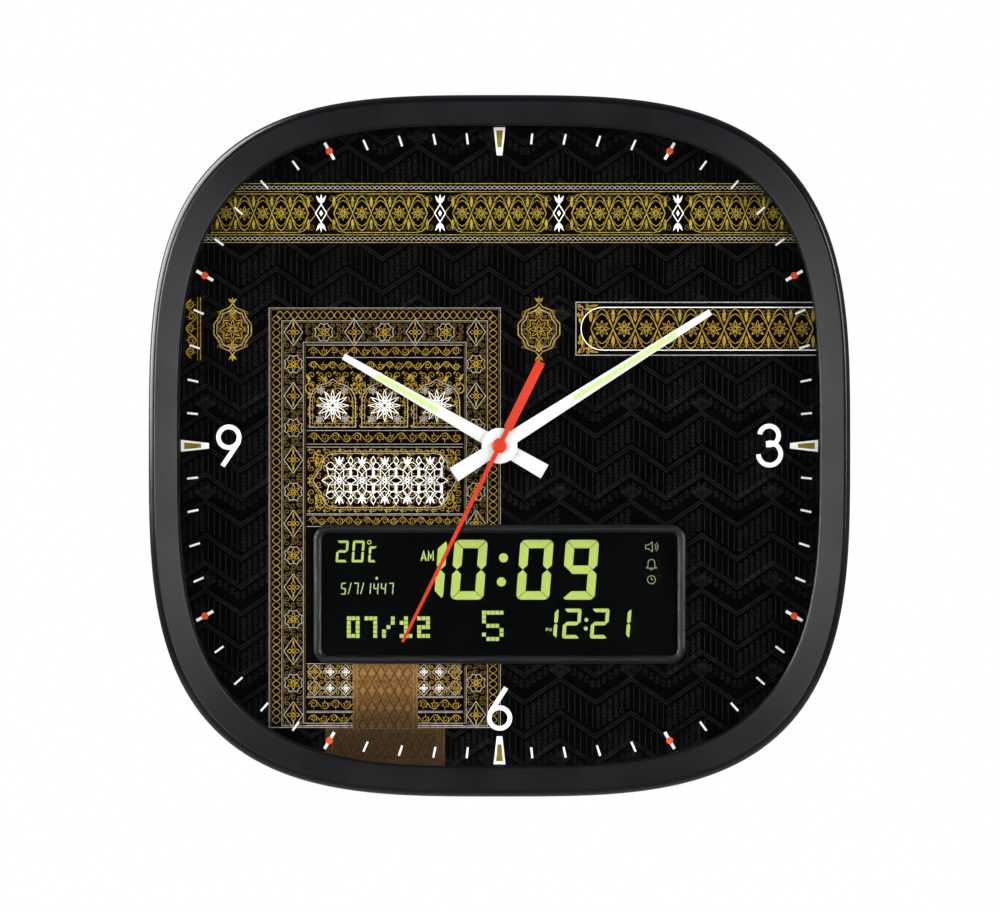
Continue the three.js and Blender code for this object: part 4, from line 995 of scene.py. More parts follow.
@dataclass
class Case:
    """Squircle bezel with the glass, the spacer behind it, the back cover and its screws, in mm."""

    half_width: float = 165.0
    depth: float = 46.0
    sides: int = 256
    edge: Point = (3.6, 9.0)
    edge_steps: int = 12
    wall: float = 2.6
    draft: float = 1.2
    rear_edge: float = 4.0
    face_width: float = 14.6
    face_fall: float = 1.3
    glint: float = 0.118
    glint_places: tuple[float, ...] = (0.42, 0.36, 0.06, 0.0)
    face_places: Point = (0.06, 0.3)
    lip: tuple[Point, ...] = ((1.15, 0.0), (0.6, 0.16), (0.18, 0.5), (0.0, 1.0))
    glass_stop: float = 42.8
    rib: Point = (153.1, 154.9)
    rib_rear: float = 27.1
    web_rear: float = 43.4
    boss_radius: float = 4.0
    boss_reach: float = 127.16
    boss_levels: Point = (8.0, 43.3)
    screw_bore: float = 1.6
    screw_bore_levels: Point = (7.0, 16.8)
    jack_place: tuple[float, float] = (40.0, 15.4)
    jack_radius: float = 4.2
    jack_depth: float = 16.0
    spacer_widths: Point = (150.8, 152.8)
    spacer_levels: Point = (30.2, 40.2)
    spacer_edge: float = 0.2

    def bezel_profile(self) -> Outline:
        """Works out the section of the bezel.

        Returns:
            Half width and level in mm, rear outer edge first.
        """
        across, deep = self.edge
        centre, level = self.half_width - across, self.depth - deep
        turns = [math.pi / 2 * step / self.edge_steps for step in range(self.edge_steps)]
        inner = self.half_width - self.face_width
        step_in, brim = self.lip[0][0], self.depth - self.face_fall
        slope = self.face_fall / (centre - inner - step_in)
        margin = self.face_places[1]
        return [
            (self.half_width - self.draft, self.rear_edge),
            *[(centre + across * math.cos(turn), level + deep * math.sin(turn)) for turn in turns],
            *[(centre + out, self.depth - out * self.glint) for out in self.glint_places],
            *[(centre - back, self.depth - back * slope) for back in self.face_places],
            (inner + step_in + margin, brim + margin * slope),
            *[(inner + out, brim - fall) for out, fall in self.lip],
            (inner, self.glass_stop),
            (self.rib[0], self.glass_stop),
            (self.rib[0], self.rib_rear),
            (self.rib[1], self.rib_rear),
            (self.rib[1], self.web_rear),
            (centre, self.web_rear),
            (self.half_width - self.wall, level),
            (self.half_width - self.draft - self.wall, self.rear_edge),
        ]

    def bezel(self) -> None:
        """Builds the bezel with its screw bosses and the hole of the jack."""
        piece = close(ring("bezel_moulding", self.bezel_profile(), self.sides))
        for side_x, side_z in ((1, 1), (-1, 1), (-1, -1), (1, -1)):
            centre = (side_x * self.boss_reach, side_z * self.boss_reach)
            boss = [(self.boss_radius, level) for level in self.boss_levels]
            combine(piece, turned("boss", boss, 24, centre), "UNION")
            bore = [(self.screw_bore, level) for level in self.screw_bore_levels]
            combine(piece, turned("bore", bore, 16, centre), "DIFFERENCE")
        clear()
        place = spot((self.jack_place[0], -self.half_width), self.jack_place[1])
        size = {"radius": self.jack_radius * MM, "depth": self.jack_depth * MM}
        bpy.ops.mesh.primitive_cylinder_add(vertices=32, location=place, **size)
        combine(piece, named("jack_cut"), "DIFFERENCE")
        smooth(piece, 32)
        seat(piece, BEZEL, "case", "bezel_plastic", "front_bezel")

    def spacer(self) -> None:
        """Builds the ring that holds the glass off the dial."""
        (inner, outer), (rear, front) = self.spacer_widths, self.spacer_levels
        bevel = [(inner, front - self.spacer_edge), (inner + self.spacer_edge, front)]
        piece = ring("spacer_moulding", [(inner, rear), *bevel, (outer, front), (outer, rear)], self.sides)
        # The spacer's finish is a black darker than the other plastic, a painted shade on its inner wall.
        seat(close(piece, 25), SHADE, "case", "black_plastic", "spacer_ring")

    def build(self) -> None:
        """Builds and dresses the case."""
        self.bezel()
        self.spacer()
        finish_nodes(GLASS, "front_glass")
        finish_nodes(COVER, "back_cover")
        finish_nodes(BLACK, "dial_plate")
        finish_nodes(SCREW_STEEL, *[f"case_screw_{number}" for number in range(1, 5)])


# Ornament lines as points in mm


def arc(centre: Point, radius: float, start: float, end: float, steps: int = 16) -> Outline:
    """Points along an arc, with its angles in degrees."""
    angles = [math.radians(start + (end - start) * step / steps) for step in range(steps + 1)]
    return [(centre[0] + radius * math.cos(turn), centre[1] + radius * math.sin(turn)) for turn in angles]


def spiral(centre: Point, radius: float, turns: float, start: float, hand: int, steps: int) -> Outline:
    """Points of a spiral that winds inwards.

    Args:
        centre: x and z.
        radius: outer radius.
        turns: number of turns.
        start: first angle in degrees.
        hand: 1 or -1.
        steps: number of chords.

    Returns:
        The points.
    """
    made = []
    for step in range(steps + 1):
        turn = math.radians(start) + hand * 2 * math.pi * turns * step / steps
        size = radius * (1 - 0.82 * step / steps)
        made.append((centre[0] + size * math.cos(turn), centre[1] + size * math.sin(turn)))
    return made


def leaf(base: Point, angle: float, length: float, width: float) -> Outline:
    """Outline of a pointed leaf.

    Args:
        base: where it grows from.
        angle: its direction in degrees.
        length: its length.
        width: its greatest width.

    Returns:
        The outline.
    """
    cosine, sine = math.cos(math.radians(angle)), math.sin(math.radians(angle))
    shape = ((0.0, 0.0), (0.2, 0.75), (0.45, 1.0), (0.75, 0.55), (1.0, 0.0))
    half = [(share * length, size * width / 2) for share, size in shape]
    outline = half + [(run, -side) for run, side in reversed(half[1:-1])]
    return [(base[0] + u * cosine - v * sine, base[1] + u * sine + v * cosine) for u, v in outline]


def star(centre: Point, points: int, outer: float, inner: float, turn: float = 90.0) -> Outline:
    """Outline of a star.

    Args:
        centre: x and z.
        points: number of points.
        outer: radius of the points.
        inner: radius of the notches.
        turn: angle of the first point in degrees.

    Returns:
        The outline.
    """
    made = []
    for step in range(2 * points):
        angle = math.radians(turn + 180 * step / points)
        size = inner if step % 2 else outer
        made.append((centre[0] + size * math.cos(angle), centre[1] + size * math.sin(angle)))
    return made


def lozenge(centre: Point, width: float, height: float) -> Outline:
    """Outline of a lozenge."""
    x, z = centre
    return [(x + width / 2, z), (x, z + height / 2), (x - width / 2, z), (x, z - height / 2)]


def rectangle(left: float, right: float, low: float, high: float) -> Outline:
    """Outline of a rectangle."""
    return [(left, low), (right, low), (right, high), (left, high)]


def cartouche(left: float, right: float, low: float, high: float, nose: float) -> Outline:
    """Outline of a long field with ogee ends.

    Args:
        left: left end.
        right: right end.
        low: lower edge.
        high: upper edge.
        nose: length of an end.

    Returns:
        The outline.
    """
    middle, half = (low + high) / 2, (high - low) / 2
    shape = ((0.0, 1.0), (0.3, 0.94), (0.52, 0.74), (0.62, 0.48), (0.78, 0.3), (1.0, 0.0))
    upper = [(right - nose + nose * run, middle + half * side) for run, side in shape]
    end = upper + [(x, 2 * middle - z) for x, z in reversed(upper[:-1])]
    return end + [(left + right - x, 2 * middle - z) for x, z in end]


def dense(outline: Sequence[Point], size: float = 3.0) -> Outline:
    """Adds points along a closed outline so that it can be cut cleanly at the sheet's edge.

    Args:
        outline: its corners.
        size: longest chord left.

    Returns:
        The denser outline.
    """
    made: Outline = []
    for start, end in zip(outline, [*outline[1:], outline[0]]):
        count = max(1, math.ceil(math.dist(start, end) / size))
        for share in [step / count for step in range(count)]:
            made.append((start[0] + (end[0] - start[0]) * share, start[1] + (end[1] - start[1]) * share))
    return made


# Printing


class Place(Enum):
    """Heights of the printed coats above the wall in mm."""

    SEGMENTS = 26.16
    WEAVE = 29.92
    GROUND = 29.94
    SHADE = 29.96
    FIELD = 29.985
    LINE = 30.005
    WHITE = 30.03
    CLOTH = 30.06
    CLOTH_SHADE = 30.07
    CLOTH_LINE = 30.09
    MARK = 30.115
    TOP = 30.14


@dataclass
class Coat:
    """One printed colour: ribbons and filled shapes facing the front, joined in one piece."""

    name: str
    place: Place
    ink: Finish
    limit: float = 151.6
    window: Triple | None = (86.6, -69.9, 31.8)
    layers: int = 6
    layer: float = 0.003
    corners: list[Triple] = field(default_factory=list)
    faces: list[tuple[int, ...]] = field(default_factory=list)
    count: int = 0

    def _height(self) -> float:
        """Next height of this coat, on one of a few very close levels."""
        self.count += 1
        return self.place.value + self.layer * (self.count % self.layers)

    def _inside(self, point: Point) -> bool:
        """Whether a point lies on the sheet and clear of the display window."""
        x, z = point
        if self.window and abs(x) < self.window[0] and abs(z - self.window[1]) < self.window[2]:
            return False
        return half_width_at(x, z) <= self.limit

    def _corner(self, x: float, z: float, height: float) -> int:
        """Adds a corner and gives its number."""
        self.corners.append(spot((x, z), height))
        return len(self.corners) - 1

    def stroke(
        self, points: Sequence[Point], width: float, closed: bool = False, end_width: float | None = None
    ) -> None:
        """Prints a ribbon along points, cut off where it leaves the sheet.

        Args:
            points: the middle line in mm.
            width: ribbon width at its start in mm.
            closed: whether the last point joins the first.
            end_width: width at its end, if it tapers.
        """
        line = list(points) + ([points[0]] if closed else [])
        run: list[tuple[Point, float]] = []
        last = width if end_width is None else end_width
        for step, point in enumerate(line):
            if self._inside(point):
                run.append((point, width + (last - width) * step / max(1, len(line) - 1)))
                continue
            self._ribbon(run, False)
            run = []
        self._ribbon(run, closed and len(run) == len(line))

    def loop(self, points: Sequence[Point], width: float) -> None:
        """Prints a ribbon whose last point joins the first."""
        self.stroke(points, width, True)

    def _ribbon(self, run: Sequence[tuple[Point, float]], closed: bool) -> None:
        """Adds the mitred quads of one run.

        Args:
            run: points of the middle line, each with its width.
            closed: whether the last point is the first again.
        """
        nearby = 1e-4
        run = [*run[:1], *[here for last, here in zip(run, run[1:]) if math.dist(here[0], last[0]) > nearby]]
        if len(run) < 2:
            return
        height = self._height()
        line = [complex(*point) for point, _ in run]
        steps = [(end - start) / abs(end - start) for start, end in zip(line, line[1:])]
        before = [steps[-1] if closed else None, *steps]
        after = [*steps, steps[0] if closed else None]
        rails = []
        for point, (_, width), *pair in zip(line, run, before, after):
            ways = [way for way in pair if way is not None]
            along = sum(ways) if abs(sum(ways)) >= WELD else ways[0]
            side = 1j * along / abs(along)
            miter = 1 / max(MITER_LIMIT, abs((side / (1j * ways[0])).real)) if len(ways) == 2 else 1.0
            edge = side * width / 2 * miter
            rails.append([self._corner(end.real, end.imag, height) for end in (point + edge, point - edge)])
        for (left, right), (next_left, next_right) in zip(rails, rails[1:]):
            self.faces.append((right, next_right, next_left, left))

    def fill(self, outline: Sequence[Point], centre: Point | None = None) -> None:
        """Prints a filled shape, unless a corner lies off the sheet.

        Args:
            outline: its corners in mm, either way round.
            centre: a point that sees all corners, for a shape that isn't plain.
        """
        if not all(self._inside(point) for point in outline):
            return
        area = sum(a[0] * b[1] - b[0] * a[1] for a, b in zip(outline, [*outline[1:], outline[0]]))
        height = self._height()
        numbers = [self._corner(x, z, height) for x, z in (outline if area > 0 else reversed(outline))]
        if centre:
            middle = self._corner(*centre, height)
            self.faces.extend((middle, a, b) for a, b in zip(numbers, numbers[1:] + numbers[:1]))
        else:
            self.faces.append(tuple(numbers))

    def disc(self, centre: Point, radius: float, sides: int = 12) -> None:
        """Prints a dot."""
        self.fill(arc(centre, radius, 0, 360 * (sides - 1) / sides, sides - 1))

    def build(self, slot: str = "printed_sheet") -> None:
        """Makes the piece."""
        mesh = bpy.data.meshes.new(self.name)
        mesh.from_pydata(self.corners, [], self.faces)
        mesh.update()
        piece = bpy.data.objects.new(self.name, mesh)
        bpy.context.scene.collection.objects.link(piece)
        seat(piece, self.ink, "case", slot)


@dataclass
class Ornament:
    """Runs of repeated ornament printed with a few coats."""

    gold: Coat
    dim: Coat
    white: Coat
    ground: Coat
    rule: Coat
    plain: Coat

    def level(self, left: float, right: float, heights: Iterable[float], width: float = HAIR) -> None:
        """Prints level rules."""
        for height in heights:
            self.rule.stroke([(left, height), (right, height)], width)

    def spray(self, coat: Coat, base: Point, hand: int, lean: float, size: Point) -> None:
        """Prints three leaves of one length and width that grow up or down from a point."""
        for angle in (90 - lean, 90, 90 + lean):
            coat.fill(leaf(base, angle * hand, *size))

    def scrolls(self, coat: Coat, box: Box, pitch: float, width: float) -> None:
        """Prints a dense field of small curls and leaves.

        Args:
            coat: the colour.
            box: left, right, low and high.
            pitch: distance between two curls.
            width: width of a strand.
        """
        left, right, low, high = box
        columns, rows = max(1, round((right - left) / pitch)), max(1, round((high - low) / pitch))
        wide, tall = (right - left) / columns, (high - low) / rows
        for row in range(rows):
            for column in range(columns):
                x, z = left + wide * (column + 0.5), low + tall * (row + 0.5)
                hand = 1 if (row + column) % 2 else -1
                coat.stroke(spiral((x, z), 0.46 * min(wide, tall), 1.2, 45 + 90 * row, hand, 9), width)
                base = (x - wide * 0.5, z + hand * tall * 0.12)
                coat.fill(leaf(base, 50 * hand, pitch * 0.52, pitch * 0.2))

    def chain(self, coat: Coat, start: Point, end: Point, pitch: float, height: float, width: float) -> None:
        """Prints two interlaced waves along a straight line.

        Args:
            coat: the colour.
            start: first end.
            end: second end.
            pitch: length of one loop.
            height: height over both waves.
            width: width of a strand.
        """
        size = math.dist(start, end)
        steps = 6 * max(1, round(size / pitch))
        way = ((end[0] - start[0]) / size, (end[1] - start[1]) / size)
        for hand in BOTH:
            line = []
            for step in range(steps + 1):
                run, off = size * step / steps, hand * height / 2 * math.sin(math.pi * step / 6)
                line.append((start[0] + way[0] * run - way[1] * off, start[1] + way[1] * run + way[0] * off))
            coat.stroke(line, width)

    def interlace(self, start: Point, end: Point, height: float, pitch: float, width: float) -> None:
        """Prints a level band of interlaced waves with a flower in each loop and curls between the loops.

        Args:
            start: left end of the middle line.
            end: right end.
            height: height over the waves.
            pitch: length of a loop.
            width: width of a strand.
        """
        loops = max(1, round((end[0] - start[0]) / pitch))
        pitch = (end[0] - start[0]) / loops
        for share, strand in ((1.0, 1.0), (0.74, 0.7)):
            self.chain(self.gold, start, end, pitch, height * share, width * strand)
        for number in range(loops + 1):
            x, z = start[0] + pitch * number, start[1]
            if number < loops:
                self.rosette(self.gold, (x + pitch / 2, z), height * 0.2, 8, width * 0.7)
            for hand in BOTH:
                self.gold.fill(leaf((x, z + hand * height * 0.16), 90 * hand, height * 0.34, height * 0.09))
                for side in BOTH:
                    curl = (x + side * pitch * 0.17, z + hand * height * 0.42)
                    self.dim.stroke(spiral(curl, height * 0.09, 1.2, 90, side * hand, 10), width * 0.7)

    def vine(self, start: Point, end: Point, height: float, pitch: float, width: float) -> None:
        """Prints a waving gold stem with curled shoots and leaves.

        Args:
            start: first end of the middle line.
            end: second end.
            height: height over the whole vine.
            pitch: distance between two curls.
            width: width of the stem.
        """
        size = math.dist(start, end)
        count = max(1, round(size / pitch))
        pitch = size / count
        turn = math.atan2(end[1] - start[1], end[0] - start[0])
        facing, cosine, sine = math.degrees(turn), math.cos(turn), math.sin(turn)

        def at(run: float, off: float) -> Point:
            """A point along and beside the middle line."""
            return (start[0] + run * cosine - off * sine, start[1] + run * sine + off * cosine)

        dice = random.Random(round(start[0] * 7 + start[1] * 3 + size))
        swing, blade = height * 0.34, height * 0.045
        steps = range(count * 8 + 1)
        stem = [at(size * step / (count * 8), swing * math.sin(math.pi * step / 8)) for step in steps]
        self.gold.stroke(stem, width)
        for number in range(count):
            hand = -1 if number % 2 else 1
            middle = pitch * (number + 0.5)
            curl = min(height * 0.3, pitch * 0.44) * dice.uniform(0.88, 1.08)
            eye = at(middle + pitch * dice.uniform(-0.05, 0.05), hand * (swing - curl))
            shoot = spiral(eye, curl, dice.uniform(1.3, 1.6), facing + hand * 90, -hand, 18)
            self.gold.stroke(shoot, width, end_width=width * 0.6)
            for step, length in ((4, 0.2), (8, 0.16)):
                x, z = shoot[step]
                out = math.degrees(math.atan2(z - eye[1], x - eye[0])) - hand * 38
                self.gold.fill(leaf((x, z), out, height * length * dice.uniform(0.85, 1.15), blade))
            for along, lean in ((-0.3, 40), (0.3, 140)):
                base = at(middle + along * pitch, hand * swing * math.cos(math.pi * along))
                angle = facing + hand * (lean + dice.uniform(-12, 12))
                self.gold.fill(leaf(base, angle, height * 0.17, blade))
            base, length = at(middle, -hand * height * 0.14), height * 0.3 * dice.uniform(0.8, 1.1)
            self.gold.fill(leaf(base, facing - hand * 90, length, height * 0.05))

    def rosette(self, coat: Coat, centre: Point, radius: float, petals: int, width: float) -> None:
        """Prints an open flower of looped petals.

        Args:
            coat: the colour.
            centre: its middle.
            radius: its reach.
            petals: number of petals.
            width: width of the lines.
        """
        for number in range(petals):
            angle = 90 + 360 * number / petals
            base = arc(centre, radius * 0.26, angle, angle, 1)[0]
            coat.loop(leaf(base, angle, radius * 0.72, radius * 1.7 / petals * 1.4), width)
        coat.loop(arc(centre, radius * 0.2, 0, 337.5, 15), width)


@dataclass
class TopBand(Ornament):
    """Gold band across the top: rules, chains and five fields of interlace."""

    low: float = 95.8
    high: float = 123.5
    rim: float = 151.2
    joints: tuple[float, ...] = (-150.0, -84.0, -28.0, 28.0, 84.0, 150.0)

    def build(self) -> None:
        """Prints the band."""
        for height in (self.high, self.high - 3.75, self.low + 3.6, self.low):
            width = reach(self.rim, height)
            self.gold.stroke([(-width, height), (width, height)], FINE)
        for height in (self.high - 1.9, self.low + 1.8):
            width = reach(self.rim, height)
            self.chain(self.rule, (-width, height), (width, height), 2.3, 1.5, HAIR)
        top, bottom = self.high - 4.4, self.low + 4.2
        middle = (top + bottom) / 2
        wide, narrow, width = [reach(self.rim, height) for height in (bottom, top, middle)]
        self.ground.fill([(-wide, bottom), (wide, bottom), (narrow, top), (-narrow, top)])
        for left, right in zip(self.joints, self.joints[1:]):
            outline = cartouche(left + 2.2, right - 2.2, bottom + 0.5, top - 0.5, 9.0)
            self.gold.loop(dense(outline), FIRM)
            start, end = max(left + 6.0, -width), min(right - 6.0, width)
            self.interlace((start, middle), (end, middle), 16.4, 9.0, 0.4)
        for joint in self.joints[1:-1]:
            self.white.loop(lozenge((joint, middle), 5.2, 8.4), 0.5)
            for hand in BOTH:
                self.spray(self.white, (joint, middle + hand * 4.4), hand, 30, (4.6, 1.3))
            self.white.fill(lozenge((joint, middle), 1.8, 3.0))


@dataclass
class NichePanel(Ornament):
    """Tall panel at the left: border, columns of stars and lozenges, friezes, arches and star fields."""

    left: float = -108.8
    right: float = 0.7
    low: float = -132.7
    high: float = 65.2
    window: Triple = (-86.8, -101.9, -37.9)
    border: float = 3.7
    column: float = 11.7
    inner: float = 18.0
    cells: int = 13
    edges: tuple[float, ...] = (0.3, 1.1, 6.3, 7.0, 16.4, 17.2)
    fields: tuple[tuple[str, float, float], ...] = (
        ("frieze", 41.6, 47.4), ("arcade", 8.0, 40.8), ("frieze", 0.8, 7.2), ("star_field", -32.0, -0.6),
        ("frieze", -38.0, -32.6), ("lattice", -118.0, -102.6), ("frieze", -125.0, -118.6),
        ("frieze", -131.6, -125.6),
    )

    def build(self) -> None:
        """Prints the panel."""
        edge, window_low, window_high = self.window
        self.ground.fill(rectangle(self.left, self.right, window_high, self.high))
        self.ground.fill(rectangle(self.left, edge, window_low, window_high))
        self.ground.fill(rectangle(self.left, self.right, self.low, window_low))
        for number, inner in enumerate(self.edges):
            line = rectangle(self.left + inner, self.right - inner, self.low + inner / 8, self.high - inner)
            (self.dim if number % 2 else self.rule).loop(dense(line), HAIR)
        left, right = self.left + self.border, self.right - self.border
        low, high = self.low + 2, self.high - self.border
        feet, heads = ((left, low), (right, low)), ((left, high), (right, high))
        for start, end in (*zip(feet, heads), heads):
            self.chain(self.gold, start, end, 3.4, 3.6, 0.28)
        self._columns()
        printers = {"frieze": self._frieze, "arcade": self._arcade, "star_field": self._star_field,
                    "lattice": self._lattice}
        for kind, bottom, top in self.fields:
            printers[kind]((self.left + self.inner, self.right - self.inner, bottom, top))

    def _columns(self) -> None:
        """Prints the stars and lozenges in the two columns and over the arches."""
        sides = (self.left + self.column, self.right - self.column)
        top, bottom = self.high - self.column, self.low + 6.0
        cells = []
        for side in sides:
            self.scrolls(self.dim, (side - 4.4, side + 4.4, self.low + 1, self.high - 7.4), 2.9, 0.28)
            pitch = (top - bottom) / (self.cells - 1)
            cells += [((side, top - pitch * number), number) for number in range(self.cells)]
        over = (self.left + 17.4, self.right - 17.4, self.high - 16.0, self.high - 7.4)
        self.scrolls(self.dim, over, 2.9, 0.28)
        cells += [((sides[0] + (sides[1] - sides[0]) * number / 6, top), number) for number in range(1, 6)]
        for centre, number in cells:
            starred = number % 2
            outline = star(centre, 8, 4.5, 3.6, 22.5) if starred else lozenge(centre, 8.8, 12.6)
            self.plain.fill(outline, centre)
            self.rule.loop(dense(outline), FINE)
            self.rosette(self.gold, centre, 3.3 if starred else 3.0, 6 if starred else 4, 0.34)
            for hand in () if starred else BOTH:
                self.gold.fill(leaf((centre[0], centre[1] + hand * 2.6), 90 * hand, 2.8, 0.9))

    def _frieze(self, box: Box) -> None:
        """Prints a narrow band with a vine between two rules."""
        left, right, low, high = box
        self.level(left, right, (low, high))
        middle, tall = (low + high) / 2, high - low
        self.vine((left + 0.8, middle), (right - 0.8, middle), tall * 0.96, tall * 0.8, FINE)

    def _arcade(self, box: Box, count: int = 3) -> None:
        """Prints pointed arches, each with a white flower, and a vine over them.

        Args:
            box: left, right, low and high.
            count: number of arches.
        """
        left, right, low, high = box
        pitch = (right - left) / count
        self.scrolls(self.gold, (left + 0.4, right - 0.4, low + 0.4, high - 5.6), 4.0, HAIR)
        half, spring = pitch * 0.44, low + 12.0
        turns = [math.pi / 2 * step / 8 for step in range(1, 8)]
        bend = [(half * math.cos(turn) ** 0.8, spring + 9.5 * math.sin(turn) ** 0.9) for turn in turns]
        for x in [left + pitch * (number + 0.5) for number in range(count)]:
            arch = [(x - half, low + 0.8), (x - half, spring)]
            arch += [(x - across, up) for across, up in bend]
            outline = [*arch, (x, spring + 11.4), *[(2 * x - px, pz) for px, pz in reversed(arch)]]
            self.plain.fill(outline)
            self.rule.loop(outline, 0.34)
            shrunk = [(x + (px - x) * 0.88, low + 1.9 + (pz - low) * 0.86) for px, pz in outline]
            self.gold.loop(shrunk, HAIR)
            self.rosette(self.white, (x, spring - 1.0), 7.6, 12, 0.34)
            self.rosette(self.white, (x, spring - 1.0), 4.4, 8, FINE)
            for hand in BOTH:
                self.rosette(self.rule, (x + hand * half * 0.56, low + 4.6), 2.2, 6, HAIR)
                self.rosette(self.rule, (x + hand * half * 0.5, spring + 6.0), 2.0, 6, HAIR)
            for hand in BOTH:
                side = x + hand * half * 0.98
                self.gold.stroke(spiral((side, spring + 7.4), 2.8, 1.3, -90, hand, 16), 0.5, end_width=FINE)
                self.gold.fill(leaf((side, spring + 10.6), 90 - hand * 30, 4.0, 1.5))
                self.gold.fill(leaf((x + hand * 2.6, spring + 10.2), 90 - hand * 50, 4.4, 1.4))
        self.vine((left + 1, high - 3.0), (right - 1, high - 3.0), 5.4, 4.6, 0.38)

    def _star_field(self, box: Box, count: int = 5) -> None:
        """Prints a black field with pointed ends that holds white stars, in a gold surround.

        Args:
            box: left, right, low and high.
            count: number of stars.
        """
        left, right, low, high = box
        middle = (low + high) / 2
        self.level(left, right, (low, high))
        self.scrolls(self.gold, (left + 0.4, right - 0.4, low + 0.4, high - 0.4), 3.7, HAIR)
        outline = cartouche(left + 1.6, right - 1.6, low + 2.0, high - 2.0, 11.0)
        self.plain.fill(outline, ((left + right) / 2, middle))
        self.gold.loop(outline, FIRM)
        self.rule.loop(cartouche(left + 3.0, right - 3.0, low + 3.0, high - 3.0, 10.0), FINE)
        pitch = (right - left - 20) / count
        for x in [left + 10 + pitch * (number + 0.5) for number in range(count)]:
            self.white.loop(star((x, middle), 8, 8.2, 5.4), 0.34)
            self.white.loop(star((x, middle), 8, 5.4, 2.8, 112.5), 0.34)
            self.rosette(self.white, (x, middle), 2.8, 6, 0.32)
            for hand in BOTH:
                self.spray(self.white, (x, middle + hand * 7.4), hand, 30, (4.2, 1.1))
                self.white.fill(leaf((x + pitch / 2, middle + hand), hand * 90, 6.0, 1.4))
                self.white.loop(lozenge((x + pitch / 2, middle + hand * 9.2), 2.4, 4.2), 0.32)
        for hand in BOTH:
            height = middle + hand * 6.8
            self.chain(self.white, (left + 9, height), (right - 9, height), 4.3, 3.6, HAIR)
        for x, hand in ((left + 4.5, 1), (right - 4.5, -1)):
            for side in BOTH:
                curl = spiral((x + hand * 1.5, middle + side * 10.6), 3.3, 1.5, 90, hand * side, 18)
                self.gold.stroke(curl, 0.55, end_width=FINE)
                self.gold.fill(leaf((x, middle + side * 6.2), 90 * side, 4.0, 1.4))

    def _lattice(self, box: Box, columns: int = 10, rows: int = 2) -> None:
        """Prints a lattice of lozenges with small flowers.

        Args:
            box: left, right, low and high.
            columns: lozenges across.
            rows: lozenges down.
        """
        left, right, low, high = box
        pitch, tall = (right - left) / columns, (high - low) / rows
        self.scrolls(self.gold, (left + 0.4, right - 0.4, low + 0.4, high - 0.4), 2.6, HAIR)
        for row in range(rows):
            for number in range(columns):
                centre = (left + pitch * (number + 0.5), low + tall * (row + 0.5))
                outline = lozenge(centre, pitch * 0.9, tall * 0.9)
                self.plain.fill(outline)
                self.rule.loop(outline, 0.28)
                self.rosette(self.white if number in (1, 2, 7, 8) else self.gold, centre, 1.9, 4, HAIR)
        self.level(left, right, (low, high))


@dataclass
class SideBand(Ornament):
    """Band at the right with a round end, a white border and corner leaves."""

    left: float = 36.0
    low: float = 42.7
    high: float = 67.6
    curls: tuple[Triple, ...] = ((2.4, 2.5, 1.7), (5.6, 1.6, 1.0), (1.5, 6.0, 1.0))
    leaves: tuple[Box, ...] = (
        (3.6, 3.2, 0, 6.4), (3.0, 3.8, -90, 5.0), (6.4, 1.9, 8, 4.4), (1.7, 7.0, -82, 3.4),
        (0.8, 0.8, -45, 2.4),
    )

    def build(self) -> None:
        """Prints the band."""
        left, low, high = self.left, self.low, self.high
        right, middle = reach(151.0, high), (low + high) / 2
        self.ground.fill([(left, low), (reach(151.4, low), low), (reach(151.4, high), high), (left, high)])
        self._border([(left, high), (left, low)], 0.0, right + 1.5, self.rule, 0.4)
        margin = 2.4
        radius = (high - low) / 2 - margin
        nose = arc((left + margin + radius, middle), radius, 90, 270, 20)
        self._border(nose, margin, right + 1.5, self.white, 0.44)
        for hand in BOTH:
            edge = high if hand > 0 else low
            for across, down, size in self.curls:
                self.gold.stroke(spiral((left + across, edge - hand * down), size, 1.3, 90, hand, 14), 0.42)
            for across, down, lean, length in self.leaves:
                self.gold.fill(leaf((left + across, edge - hand * down), hand * lean, length, 1.2))
        self.interlace((left + 7.0, middle), (right, middle), 19.0, 11.0, 0.46)

    def _border(self, nose: Sequence[Point], margin: float, end: float, coat: Coat, width: float) -> None:
        """Prints a line a margin inside the band and round its left end, open at the right."""
        line = [(end, self.high - margin), *nose, (end, self.low + margin)]
        points = dense(line, 1.0)
        coat.stroke(points[:points.index(line[-1]) + 1], width)


